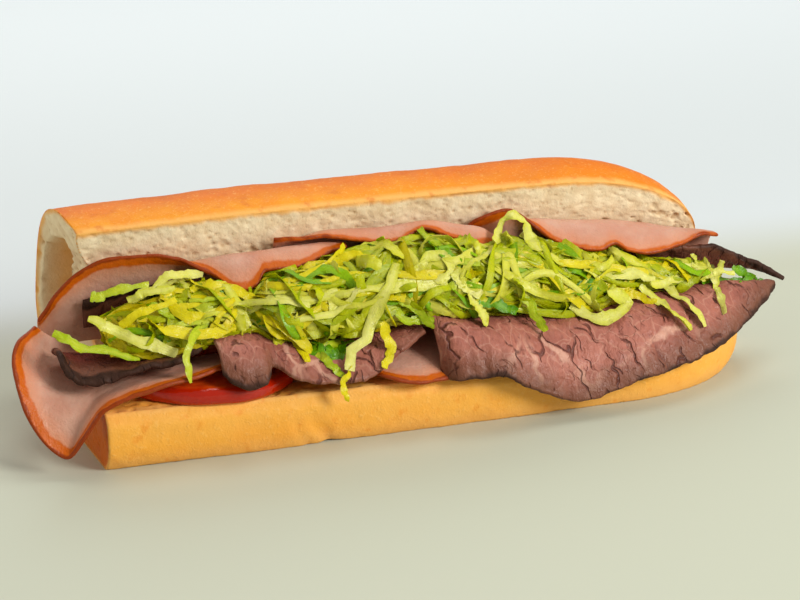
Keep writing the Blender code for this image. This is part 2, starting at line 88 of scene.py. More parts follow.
def softNoise(points, size, seed):
    # random values at the corners of cells of this size, blended by 3t^2 - 2t^3, from 0 to 1
    scaled = np.asarray(points, float) / size
    cell = np.floor(scaled).astype(np.int64)
    t = scaled - cell
    t = t * t * (3 - 2 * t)
    total = 0
    for corner in np.ndindex(2, 2, 2):
        corner = np.array(corner)
        total = total + np.prod(np.where(corner, t, 1 - t), axis=-1) * chanceAt(cell + corner, seed)
    return total


def layeredNoise(points, size, seed):
    # three layers, each half the size and half the strength of the one before, from about -1 to 1
    return sum((2 * softNoise(points, size / 2**n, seed + n) - 1) / 2**n for n in range(3)) / 1.4


def pores(points, size, seed, fill):
    # 1 - (d / r)^2 for the nearest pore, d from its middle and r its radius, one pore to a cell
    cell = np.floor(points / size).astype(np.int64)
    deepest = np.zeros(points.shape[:-1])
    for offset in np.ndindex(3, 3, 3):
        home = cell + np.array(offset) - 1
        middle = (home + np.stack([chanceAt(home, seed + n) for n in range(3)], axis=-1)) * size
        radius = size * fill * (0.3 + 0.7 * chanceAt(home, seed + 7) ** 2)
        deepest = np.maximum(deepest, 1 - ((points - middle) ** 2).sum(axis=-1) / radius**2)
    return deepest


def smooth(value, low, high):
    t = np.clip((value - low) / (high - low), 0, 1)
    return t * t * (3 - 2 * t)


def gridNormals(points):
    return unit(np.cross(np.gradient(points, axis=0), np.gradient(points, axis=1)))


def gridQuads(rows, columns, start=0, wrap=False):
    # four corner numbers for each cell of a rows x columns grid
    r, c = np.meshgrid(np.arange(rows - 1), np.arange(columns if wrap else columns - 1), indexing="ij")
    here, there = c + r * columns, (c + 1) % columns + r * columns
    quads = np.stack([here, here + columns, there + columns, there], axis=-1)
    return quads.reshape(-1, 4) + start


def makeMesh(name, points, quads, marks, material):
    # points in loaf millimetres; marks are numbers or vectors kept at each point for the material
    mesh = bpy.data.meshes.new(name)
    points = placeInModel(points).reshape(-1, 3)
    mesh.vertices.add(len(points))
    mesh.vertices.foreach_set("co", points.ravel())
    mesh.loops.add(quads.size)
    mesh.loops.foreach_set("vertex_index", quads.ravel().astype(np.int32))
    mesh.polygons.add(len(quads))
    mesh.polygons.foreach_set("loop_start", np.arange(0, quads.size, 4, dtype=np.int32))
    mesh.update(calc_edges=True)
    for mark, values in marks.items():
        kind, field = ("FLOAT", "value") if values.ndim == 1 else ("FLOAT_VECTOR", "vector")
        mesh.attributes.new(mark, kind, "POINT").data.foreach_set(field, values.ravel())
    bm = bmesh.new()
    bm.from_mesh(mesh)
    bmesh.ops.remove_doubles(bm, verts=bm.verts, dist=seamGap)
    bmesh.ops.dissolve_degenerate(bm, dist=smallestEdge, edges=bm.edges)
    bmesh.ops.recalc_face_normals(bm, faces=bm.faces)
    bm.to_mesh(mesh)
    bm.free()
    mesh.validate()
    mesh.shade_smooth()
    mesh.materials.append(material)
    piece = bpy.data.objects.new(name, mesh)
    bpy.context.scene.collection.objects.link(piece)
    return piece


def handIn(piece, node):
    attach(piece, "root")
    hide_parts(node)
    print(piece.name, len(piece.data.polygons), "faces")


# ---- material building

def colour(red, green, blue):
    # 0 to 255 as seen on a screen, to the linear numbers that shaders use
    seen = np.array((red, green, blue)) / 255
    linear = np.where(seen <= 0.04045, seen / 12.92, ((seen + 0.055) / 1.055) ** 2.4)
    return (*linear.tolist(), 1.0)


class Nodes:
    # short ways to add nodes to a tree
    def __init__(self, tree):
        self.tree = tree

    def connect(self, node, inputs):
        for key, value in inputs.items():
            if isinstance(value, bpy.types.NodeSocket):
                self.tree.links.new(value, node.inputs[key])
            else:
                node.inputs[key].default_value = value

    def add(self, kind, inputs=(), **settings):
        made = self.tree.nodes.new("ShaderNode" + kind)
        for setting, value in settings.items():
            setattr(made, setting, value)
        self.connect(made, dict(inputs))
        return made

    def maths(self, how, *values):
        return self.add("Math", dict(enumerate(values)), operation=how).outputs[0]

    def times(self, first, second):
        return self.maths("MULTIPLY", first, second)

    def step(self, value, low, high, start=0.0, end=1.0):
        inputs = {0: value, 1: low, 2: high, 3: start, 4: end}
        return self.add("MapRange", inputs, interpolation_type="SMOOTHSTEP").outputs[0]

    def mix(self, mask, first, second, strength=None):
        if strength is not None:
            mask = self.times(mask, strength)
        return self.add("Mix", {0: mask, 6: first, 7: second}, data_type="RGBA").outputs[2]

    def mark(self, name, output="Fac"):
        return self.add("Attribute", attribute_name=name).outputs[output]

    def scaled(self, vector, factors):
        return self.add("Mapping", {"Vector": vector, "Scale": factors}).outputs[0]

    def mottle(self, size, low=0.3, high=0.7, vector=None):
        if vector is None:
            vector = self.add("TexCoord").outputs["Object"]
        inputs = {"Vector": vector, "Size": size, "Low": low, "High": high}
        return self.add("Group", inputs, node_tree=mottling).outputs["Mask"]


class Surface(Nodes):
    # a new material; its shader's sockets are named with _ for each space
    def __init__(self, name, **values):
        self.material = bpy.data.materials.new(name)
        self.material.use_nodes = True
        super().__init__(self.material.node_tree)
        self.feed(**values)

    def feed(self, **values):
        shader = self.tree.nodes["Principled BSDF"]
        self.connect(shader, {socket.replace("_", " "): value for socket, value in values.items()})

    def bump(self, *layers):
        # each layer is (height mask, depth in millimetres); they follow one on another
        before = {}
        for height, depth in layers:
            inputs = {"Height": height, "Distance": depth * metresPerMm, "Strength": 1.0, **before}
            before = {"Normal": self.add("Bump", inputs).outputs["Normal"]}
        self.feed(**before)


def patternGroup(name):
    # a noise pattern, 0 to 1, at the given size in millimetres, with its contrast set by Low and High
    group = bpy.data.node_groups.new(name, "ShaderNodeTree")
    for socket, way, kind in (("Vector", "INPUT", "Vector"), ("Size", "INPUT", "Float"), ("Low", "INPUT", "Float"),
                              ("High", "INPUT", "Float"), ("Mask", "OUTPUT", "Float")):
        group.interface.new_socket(name=socket, in_out=way, socket_type="NodeSocket" + kind)
    nodes, given = Nodes(group), group.nodes.new("NodeGroupInput").outputs
    perMetre = nodes.maths("DIVIDE", 1 / metresPerMm, given["Size"])
    noise = nodes.add("TexNoise", {"Vector": given["Vector"], "Scale": perMetre, "Detail": 3.0, "Roughness": 0.55})
    mask = nodes.step(noise.outputs["Fac"], given["Low"], given["High"])
    group.links.new(mask, group.nodes.new("NodeGroupOutput").inputs["Mask"])
    return group


mottling = patternGroup("mottling")


# ---- bread

bread = dict(
    crumbLight=colour(244, 226, 190), crumbShade=colour(232, 208, 168), paintedPoreShade=colour(184, 142, 94),
    hollow=colour(240, 190, 116), flour=colour(248, 196, 110), seam=colour(244, 186, 104), toasted=colour(196, 98, 22),
)

lidBread = dict(
    length=241.5, width=62.0, depth=30.0, widest=9.0, roundness=2.9, roundEnd=62.0, angle=78.0, hinge=(53.7, 19.2),
    swells=((0.03, 31.0), (0.012, 8.0)), widthSwells=((0.03, 55.0),), inset=6.0, end=(12.4, 0.26), slantFade=90.0,
    hollowDepths=(9.0, 3.2), hollowFade=30.0, hollowSpan=(3.0, 33.0),
    tearDepth=4.0, tearReach=20.0, tearPush=11.0, pocketDepth=14.0, creases=(), wrap=0.0,
    paleBand=(2.0, 17.0), seamBand=(0.6, 3.4), farBrown=0.6, paleFoot=0.0, crustLean=0.1, endCrumb=1.0,
    crustDark=colour(214, 106, 20), crustGold=colour(234, 126, 20), crustPale=colour(242, 158, 26),
    stations=330, aroundCount=108, capCount=44,
)

baseBread = dict(
    length=251.5, width=67.0, depth=27.0, widest=8.0, roundness=3.2, roundEnd=56.0, end=(0.9, 0.12), slantFade=90.0,
    swells=((0.02, 23.0), (0.012, 9.5)), cutHeights=[(0, 22), (60, 20), (120, 19), (200, 18.5), (256, 17)],
    dish=1.2, edgeRounding=2.2, wrap=11.0, creases=[(80, 3.5, 0.9), (73, 2.0, 0.4)],
    paleBand=(3.0, 25.0), seamBand=(0.0, 2.0), farBrown=0.0, paleFoot=0.7, crustLean=0.6, endCrumb=0.0,
    crustDark=colour(236, 140, 40), crustGold=colour(247, 172, 60), crustPale=colour(246, 180, 80),
    stations=300, aroundCount=96, capCount=18,
)


def loafStations(loaf):
    # even steps, then steps that shorten as a sine towards the rounded end's tip
    straight = loaf["length"] - loaf["roundEnd"]
    tip = np.linspace(0, math.pi / 2, loaf["stations"] // 4 + 1)[1:]
    even = np.linspace(0, straight, loaf["stations"] - len(tip))
    x = np.concatenate([even, straight + loaf["roundEnd"] * np.sin(tip)])
    x[-1] -= 0.1
    return x[:, None]


def endScale(x, loaf):
    # share of the full width that is left at x: sqrt(1 - s^2) over the rounded end
    share = np.clip((x - loaf["length"] + loaf["roundEnd"]) / loaf["roundEnd"], 0, 1)
    return np.sqrt(np.maximum(1 - share**2, 0.004))


def swell(x, waves):
    return 1 + sum(share * np.sin(x / length) for share, length in waves)


def crustProfile(width, depth, loaf):
    # superellipse |a / w|^n + |b / d|^n = 1 from one cut edge to the other, widest a little behind the cut
    low = np.arcsin((loaf["widest"] / (depth - loaf["widest"])) ** (loaf["roundness"] / 2))
    turn = -low + (math.pi + 2 * low) * np.linspace(0, 1, loaf["aroundCount"])
    power = 2 / loaf["roundness"]
    across = -np.sign(np.cos(turn)) * np.abs(np.cos(turn)) ** power * width / 2
    away = np.sign(np.sin(turn)) * np.abs(np.sin(turn)) ** power * (depth - loaf["widest"]) + loaf["widest"]
    return across, away


def slanted(x, y, z, loaf):
    # near the cut end the sections lean to the slant of the cut
    atFront, slant = loaf["end"]
    fade = np.maximum(0, 1 - x / loaf["slantFade"])
    return np.stack([x + (atFront - slant * y) * fade, y, z], axis=-1)


def baseSections(loaf):
    x = loafStations(loaf)
    scale = endScale(x, loaf)
    top = along(loaf["cutHeights"], x[:, 0])
    across, away = crustProfile(loaf["width"], loaf["depth"] * swell(x, loaf["swells"]), loaf)
    centre = loaf["width"] / 2 - 1
    y = centre + across * scale
    z = np.maximum(top - away * scale**0.55, 0)
    y = centre + (y - centre) * (1 - loaf["edgeRounding"] / centre * smooth(z, top - 5, top + 0.5))
    share = np.linspace(0, 1, loaf["aroundCount"])
    faceY = y[:, :1] + (y[:, -1:] - y[:, :1]) * share
    faceZ = top - loaf["dish"] * np.sin(math.pi * share) * scale
    return slanted(x, y, z, loaf), slanted(x, faceY, faceZ, loaf)


def lidSections(loaf):
    x = loafStations(loaf)
    scale = endScale(x, loaf)
    width, depth = (loaf[key] * swell(x, loaf[waves]) for key, waves in (("width", "widthSwells"), ("depth", "swells")))
    across, away = crustProfile(width, depth, loaf)
    middle = loaf["width"] / 2 - loaf["inset"]
    face = across[:, :1] + (across[:, -1:] - across[:, :1]) * np.linspace(0, 1, loaf["aroundCount"])
    above = middle - face  # millimetres above the hinge
    low, high = loaf["hollowSpan"]
    atEnd, furtherIn = loaf["hollowDepths"]
    inside = np.clip((above - low) / (high - low), 0, 1)
    hollow = (furtherIn + (atEnd - furtherIn) * np.exp(-x / loaf["hollowFade"])) * np.sin(math.pi * inside) ** 0.7
    raggedTop = 31 + 1.6 * np.sin(x / 2.3) + 0.8 * np.sin(x / 0.9)
    torn = loaf["tearDepth"] * np.exp(-((x / loaf["tearReach"]) ** 2))
    torn = torn * smooth(above, 3, 11) * smooth(raggedTop - above, 0, 5)
    swing = math.radians(loaf["angle"])
    sections = []
    for sideways, out in ((across, away * scale), (face, (hollow + torn) * scale)):
        up = middle - sideways * scale
        y = loaf["hinge"][0] - up * math.cos(swing) + out * math.sin(swing)
        z = loaf["hinge"][1] + up * math.sin(swing) + out * math.cos(swing)
        sections.append(slanted(x, y, z, loaf))
    # lower down the tear also runs in from the cut end along the face
    sections[1][..., 0] += loaf["tearPush"] * smooth(71 - sections[1][..., 2], 0, 25) * np.maximum(0, 1 - x / 50)
    return sections


def pocket(v, rim, loaf):
    # how far a hollow between the crust and the torn crumb goes into the lid's cut end
    raggedTop = 67 - 170 * (v - 0.32) ** 2 + 2.5 * layeredNoise(rim, 5.0, 35)
    across = smooth(v, 0.13, 0.24) * smooth(0.66 + 0.08 * layeredNoise(rim, 6.0, 36) - v, 0, 0.14)
    return loaf["pocketDepth"] * across * smooth(raggedTop - rim[..., 2], 0, 7) * smooth(rim[..., 2], 17, 23)


def dressedCrust(grid, normal, toEdge, border, loaf):
    # lumps and pinched folds; pale by the cut edge and along the foot
    lumps = 0.45 * layeredNoise(grid, 17.0, 11) + 0.12 * layeredNoise(grid, 3.2, 14)
    front = smooth(grid[..., 1], 16, 6) * smooth(grid[..., 2], 17, 7)
    for at, size, depth in loaf["creases"]:
        off = grid[..., 0] + 0.5 * grid[..., 2] + 1.2 * layeredNoise(grid, 6.0, 15) - at
        lumps = lumps - depth * np.exp(-((off / size) ** 2)) * front
    grid = grid + normal * (lumps * border)[..., None]
    grid[..., 2] = np.maximum(grid[..., 2], 0)
    cloud = layeredNoise(grid, 9.0, 21)
    foot = 1 - smooth(grid[..., 2] + cloud, 0.5, 9)
    # seam: a pale band by the cut edge, partly the crust's own paler edge, partly painted light lifting the shade where
    # crust meets crumb
    seam = 1 - smooth(toEdge + 0.8 * cloud, *loaf["seamBand"])
    paleness = 1 - smooth(toEdge + 4 * cloud, *loaf["paleBand"])
    paleness = paleness * (1 - loaf["farBrown"] * smooth(grid[..., 0], 90, 190))
    return grid, dict(paleness=paleness, seam=np.maximum(seam, loaf["paleFoot"] * foot))


def dressedCrumb(grid, normal, fromCrust, wrap, border, poreGrowth):
    # large and small pores in an uneven face; the crust rolls over the lower half's cut edge by wrap
    # painted light: the face's crust-coloured border is made pale to lift the shade along the crust's edge
    seam = 1 - smooth(fromCrust, 2.0, 4.0)
    if wrap:
        fromCrust = fromCrust - wrap + 2.5 * layeredNoise(grid, 12.0, 33)
    crumb = smooth(fromCrust + 0.9 * layeredNoise(grid, 4.0, 31), 0.3, 2.6)
    big = pores(grid, 4.6, 41, 0.5) * poreGrowth(grid)
    small = pores(grid, 1.9, 51, 0.6)
    rough = 0.18 * layeredNoise(grid, 2.0, 61) + 0.7 * layeredNoise(grid, 9.0, 64)
    # the pore mask also sets where painted shade darkens the crumb
    pore = np.clip(big + 0.8 * small, 0, 1) * border
    grid = grid + normal * ((rough - 1.5 * big**0.8 - 0.45 * small**0.7) * border)[..., None]
    return grid, dict(crumb=crumb, pore=pore, paleness=np.ones(border.shape), seam=seam)


def breadPiece(name, loaf, sections, poreGrowth):
    # grids that share their borders: crust, cut face, and a cap across each end from crust to face
    crust, face = sections
    v = np.linspace(0, 1, loaf["capCount"])[:, None, None]
    cap, tip = (crust[i] * (1 - v) + face[i] * v for i in (0, -1))
    sunk = pocket(v[..., 0], cap, loaf) if "pocketDepth" in loaf else np.zeros(cap.shape[:2])
    cap[..., 0] += sunk
    middle = crust.mean(axis=1, keepdims=True)
    grids, quads, marks, start = [], [], [], 0
    for kind, grid in (("crust", crust), ("face", face), ("cap", cap), ("tip", tip)):
        spread = np.linalg.norm(np.diff(grid, axis=1), axis=-1)
        fromStart = np.concatenate([np.zeros((len(grid), 1)), np.cumsum(spread, axis=1)], axis=1)
        # millimetres along the section from a cut edge, and to the grid's other borders
        toEdge = np.minimum(fromStart, fromStart[:, -1:] - fromStart)
        toEnd = np.minimum(*(np.linalg.norm(grid - grid[i], axis=-1) for i in (0, -1)))
        border = smooth(np.minimum(toEdge, toEnd), 0.0, 1.6)
        normal = gridNormals(grid)
        own = {}
        if kind == "crust":
            normal = normal * np.sign(((grid - middle) * normal).sum(axis=-1).mean())
            grid, own = dressedCrust(grid, normal, toEdge, border, loaf)
        elif kind == "face":
            normal = normal * np.sign(((grid - middle) * normal).sum(axis=-1).mean())
            grid, own = dressedCrumb(grid, normal, toEdge, loaf["wrap"], border, poreGrowth)
            if "tearDepth" in loaf:
                own["hollow"] = smooth(30 - grid[..., 0], 0, 30) * smooth(56 - grid[..., 2], 4, 16)
        elif kind == "cap":
            normal = normal * np.sign(-normal[..., :1])  # the cut end faces back along x
            grid, own = dressedCrumb(grid, normal, np.minimum(toEnd, toEdge + 1.0), 0.0, border, poreGrowth)
            # the base's cut end is coloured orange-brown like crust instead of crumb
            own.update(crumb=own["crumb"] * loaf["endCrumb"], toasted=(1 - loaf["endCrumb"]) * border,
                       hollow=np.clip(sunk / 6, 0, 1))
        marks.append({**dict.fromkeys(("crumb", "paleness", "seam", "pore", "toasted", "hollow"), 0 * border), **own})
        grids.append(grid.reshape(-1, 3))
        quads.append(gridQuads(*grid.shape[:2], start))
        start += len(grids[-1])
    marks = {key: np.concatenate([part[key].ravel() for part in marks]) for key in marks[0]}
    piece = makeMesh(name, np.concatenate(grids), np.concatenate(quads), marks, breadMaterial(name, loaf))
    handIn(piece, "roll")


def breadMaterial(name, loaf):
    # crust: dark to gold by patches, pale by the cut; crumb: cream with pores darkened by painted shade
    s = Surface(name, Specular_IOR_Level=0.18)
    shade = s.maths("ADD", s.times(s.mottle(22.0, 0.35, 0.65), 0.55), loaf["crustLean"])
    crust = s.mix(shade, loaf["crustDark"], loaf["crustGold"])
    crust = s.mix(s.mark("paleness"), crust, loaf["crustPale"], 0.9)
    crust = s.mix(s.mottle(7.0, 0.4), crust, loaf["crustGold"], 0.4)
    speckles = s.maths("MAXIMUM", s.mottle(0.9, 0.58, 0.70), s.mottle(1.7, 0.58, 0.74))
    crust = s.mix(speckles, crust, bread["flour"], 0.36)
    # the seam colour is partly painted light over the shade along the crust's cut edge, and also pales the base's foot
    crust = s.mix(s.mark("seam"), crust, bread["seam"], 0.8)
    crust = s.mix(s.mottle(5.0, 0.56, 0.74), crust, loaf["crustDark"], 0.5)
    crust = s.mix(s.mark("toasted"), crust, bread["toasted"])
    crumb = s.mix(s.mottle(5.0), bread["crumbLight"], bread["crumbShade"])
    # painted shade: the crumb is darkened in the pores, as shade in the holes
    crumb = s.mix(s.step(s.mark("pore"), 0.15, 0.95), crumb, bread["paintedPoreShade"], 0.7)
    crumb = s.mix(s.mark("hollow"), crumb, bread["hollow"], 0.8)
    isCrumb = s.mark("crumb")
    s.feed(Base_Color=s.mix(isCrumb, crust, crumb), Roughness=s.step(isCrumb, 0.0, 1.0, 0.46, 0.92))
    blisters = s.times(s.mottle(1.7, 0.5, 0.75), 0.4)
    s.bump((s.mottle(0.7), 0.04), (s.mottle(3.5), 0.08), (blisters, 0.2))
    return s.material


breadPiece("lidBread", lidBread, lidSections(lidBread), lambda grid: smooth(grid[..., 2], 74.0, 46.0))
breadPiece("baseBread", baseBread, baseSections(baseBread), lambda grid: 0.6)


# ---- slices of ham and beef: sheets from a root line over a crest line to a rim line

ham = dict(
    thickness=1.5, step=0.9, flesh=colour(208, 162, 140), fleshDeep=colour(196, 136, 112), rind=colour(196, 92, 6),
    rindDark=colour(136, 48, 0), nearRind=colour(212, 134, 92),
)
beef = dict(
    thickness=2.2, step=0.8, ragged=0.9, flesh=colour(180, 112, 94), fleshDeep=colour(112, 50, 40),
    crackShade=colour(70, 18, 12), fat=colour(222, 172, 148), browned=colour(112, 68, 48), char=colour(48, 26, 15),
)

slices = {
    "hamBackLeft": dict(
        node="ham_back_left", kind="ham", edge=[(-14, 4), (40, 3.8), (98, 3)], bulge=1.5,
        root=[(-14, 45, 35), (0, 46.3, 31), (60, 46, 32), (78, 43.6, 33), (98, 41, 46)],
        crest=[(-14, 43, 40), (0, 44, 47), (14, 42.4, 55), (36, 41.8, 57), (57, 37, 61), (86, 38, 60.8), (98, 40, 59)],
        rim=[(-14, 39.8, 43.3), (-8, 41.4, 51.4), (0, 41.4, 58.6), (13, 40.2, 64.2), (27, 38.8, 64.3), (36, 37, 62.4),
             (46, 32, 57), (57, 25.5, 50.8), (61.5, 26, 52.4), (66, 28.5, 56.6), (78, 28.5, 56.6), (90, 32.4, 58.8),
             (98, 35.5, 59.6)]),
    "hamBackMiddle": dict(
        node="ham_back_middle", kind="ham", edge=[(72, 1.4), (110, 1.6), (156, 3)], bulge=0.6,
        root=[(72, 45.8, 46), (84, 47, 38), (128, 47, 38), (142, 42.6, 40), (156, 40.8, 46)],
        crest=[(72, 43.4, 58), (95, 41.4, 64), (112, 40.6, 63.6), (127, 40, 64.4), (142, 37.2, 62.2), (149, 36, 60.6),
               (156, 37, 55.4)],
        rim=[(72, 40.2, 64.8), (80, 37.2, 65), (95, 35.2, 63.4), (115, 32.6, 60.4), (127, 35, 63.6), (138, 31.4, 59.5),
             (149, 29, 56.3), (156, 34.4, 57.4)]),
    "hamBackRight": dict(
        node="ham_back_right", kind="ham", edge=[(142, 4.5), (170, 3), (190, 1.9), (244, 1.6)], bulge=2.0,
        root=[(142, 46.2, 44), (155, 47, 32), (214, 47, 31), (244, 43.6, 37)],
        crest=[(142, 44.6, 50), (158, 41.9, 58.4), (172, 40.6, 59.8), (184, 40, 58.6), (205, 39.6, 55.8),
               (226, 39.4, 51), (244, 38.6, 47)],
        rim=[(142, 42.4, 56.6), (150, 40.7, 63.5), (161, 39.6, 65.7), (169, 35.6, 60.9), (175, 32, 55),
             (183, 28.8, 51.6),
             (194, 27, 50), (199.5, 28.4, 51.2), (204, 26.2, 48.8), (213, 26, 46.9), (226, 28.4, 47.9),
             (236, 31.6, 49.8), (244, 33.2, 48.2)]),
    "hamFrontMiddle": dict(
        node="ham_front_middle", kind="ham", edge=[(95, 4), (144, 4)], bulge=0.6,
        root=[(95, 34, 24.6), (144, 34, 24.6)],
        crest=[(95, 16, 25.2), (144, 15, 24.2)],
        rim=[(95, 6, 24.6), (101, -1.5, 23.4), (108, -4, 21.2), (114, -4.6, 20.2), (119, -3, 20.2), (134, -1.5, 20.4),
             (144, 2, 21)]),
    "beefFrontRight": dict(
        node="beef_front_right", kind="beef", bulge=4.5, curl=(9.0, 7.0),
        edge=[(121, 2), (140, 3), (160, 1.5), (185, 2), (205, 2.5), (230, 3), (265, 5)],
        root=[(121, 42, 28.4), (224, 41, 28.4), (265, 30.6, 27.2)],
        crest=[(121, 12, 37.6), (140, 12, 34.4), (164, 13, 31), (186, 13.5, 29.6), (211, 18, 30.6), (236, 26, 31),
               (257, 29, 29.6), (265, 28.2, 27.6)],
        rim=[(121, -5.6, 19), (130, -7, 19.8), (141, -8.4, 20.6), (152, -8.8, 15), (163, -9, 9.8), (173, -9, 6.8),
             (184, -9, 8.2), (197, -8.2, 11.6), (210, -5.6, 12.8), (223, -1.8, 14.2), (245, 10.4, 18.6),
             (258, 20, 23.6), (265, 25.6, 26.4)]),
    "beefFrontMiddle": dict(
        node="beef_front_middle", kind="beef", edge=[(42, 4), (57, 4), (63, -3), (112, -3), (119, 0)], bulge=2.0,
        root=[(42, 40, 29), (119.5, 38, 28.6)],
        crest=[(42, 9, 38.6), (50, 8, 39.4), (57, 9, 38.8), (62, 14, 36.4), (80, 12, 32.6), (93, 12, 31.2),
               (106, 13, 33), (119.5, 16, 33.4)],
        rim=[(42, -1.6, 32.4), (46, -5, 28.4), (51, -6, 26.4), (56, -5.4, 27), (60.5, 1.8, 31.6), (67, -3, 27.4),
             (80, -4, 23.8), (93, -3, 23.6), (104, 0.6, 28.4), (113, 5, 31.6), (119.5, 9.6, 33)]),
    "beefFrontLeft": dict(
        node="beef_front_left", kind="beef", edge=[(-12, 9), (4, 5), (38, 3)], shadeAndCrispDark=1.0, crumple=2.0, bulge=0.5,
        root=[(-12, 27, 37.6), (-7, 30, 33.2), (38.5, 34, 32.6)],
        crest=[(-12, 20, 39), (-9, 20, 35), (-3, 20, 33), (18, 19, 34), (38.5, 21, 35.6)],
        rim=[(-12, 13.4, 37.2), (-9.5, 9.6, 32.8), (-4.5, 6.6, 31.6), (5, 5, 33.2), (18, 4.5, 35), (30, 6, 36.4),
             (38.5, 12, 37.8)]),
    "beefBackLeft": dict(
        node="beef_back_left", kind="beef", edge=[(0, 7), (30, 5), (60, 3)], shadeAndCrispDark=1.0, crumple=2.6, bulge=0.5,
        root=[(2, 42.2, 38), (37, 42.6, 38)],
        crest=[(2, 41, 43), (19, 40.4, 46), (37, 41, 44)],
        rim=[(2, 38.4, 49), (9, 37.4, 52), (19, 36.8, 53.6), (30, 37, 53.6), (37, 38.4, 51.4)]),
    "beefBackRight": dict(
        node="beef_back_right", kind="beef", edge=[(190, 0), (240, 2), (272, 8)], shadeAndCrispDark=0.3, bulge=0.5,
        root=[(190, 43.2, 36), (230, 41.6, 33.4), (252, 37.2, 33), (272, 31.4, 28.6)],
        crest=[(190, 41.8, 40), (216, 39.6, 39.6), (241, 36.6, 38.2), (262, 33.2, 33), (272, 31, 29)],
        rim=[(190, 39.4, 44.6), (201, 36.8, 46), (216, 34.8, 45), (230, 34, 45.6), (241, 33.6, 45.2),
             (251, 32.8, 40.6), (262, 32, 35.2), (272, 30.6, 29.6)]),
    "hamFrontLeft": dict(  # fans round the loaf's corner: its first number is the share of the way round
        node="ham_front_left", kind="ham", edge=[(0, 4), (1, 4)], bulge=0.0,
        root=[(0, -3, 44, 30.6), (0.3, 0, 34, 28.9), (0.55, 5, 21, 28.7), (0.75, 18, 21, 29.6), (1, 46, 24, 29.4)],
        crest=[(0, -10.5, 38.5, 37.5), (0.22, -15, 24.5, 30.4), (0.36, -12.5, 14.5, 25.8), (0.5, -4, 8.5, 22.8),
               (0.62, 2, 8, 26), (0.8, 20, 9, 30), (1, 46, 14, 30.6)],
        rim=[(0, -16, 32.5, 44.5), (0.1, -24, 25, 42.6), (0.22, -27.5, 17.5, 35.6), (0.34, -26, 9.5, 25.2),
             (0.43, -21, 3.2, 14.2), (0.5, -13.5, 0.3, 7.6), (0.56, -9, -1.4, 14), (0.64, 0, -2.8, 25.4),
             (0.76, 16.6, -2.9, 30.6), (0.88, 32, -0.8, 32.4), (1, 46, 5, 32.6)]),
}


def sheetThrough(root, crest, rim, bulge, t):
    # a smooth line from root over crest to rim, its hanging part rounded outward by bulge sin(pi t)
    lower, upper = crest - root, rim - crest
    lengths = [np.linalg.norm(part, axis=1) for part in (lower, upper)]
    share = np.clip(lengths[0] / (lengths[0] + lengths[1]), 0.25, 0.75)[:, None, None]
    t = t[None, :, None]
    root, crest, rim, lower, upper = (part[:, None] for part in (root, crest, rim, lower, upper))
    overCrest = (lower / share + upper / (1 - share)) / 2
    behind = hermite(root, crest, lower, overCrest * share, t / share)
    over = np.clip((t - share) / (1 - share), 0, 1)
    ahead = hermite(crest, rim, overCrest * (1 - share), upper, over)
    outward = unit(np.cross(upper, np.array([1.0, 0, 0])))
    hanging = np.clip(-upper[:, :, 2:] / np.linalg.norm(upper, axis=2, keepdims=True), 0, 1)
    return np.where(t < share, behind, ahead) + outward * bulge * hanging * np.sin(math.pi * over)


def edgeSpaced(length, step, rounding):
    # shares from 0 to 1 with even steps between and a few close ones at both ends for a rounded edge
    close = np.array([0, 0.06, 0.25, 0.6]) * rounding
    inner = np.linspace(rounding, length - rounding, max(4, round(length / step)))
    return np.concatenate([close, inner, length - close[::-1]]) / length


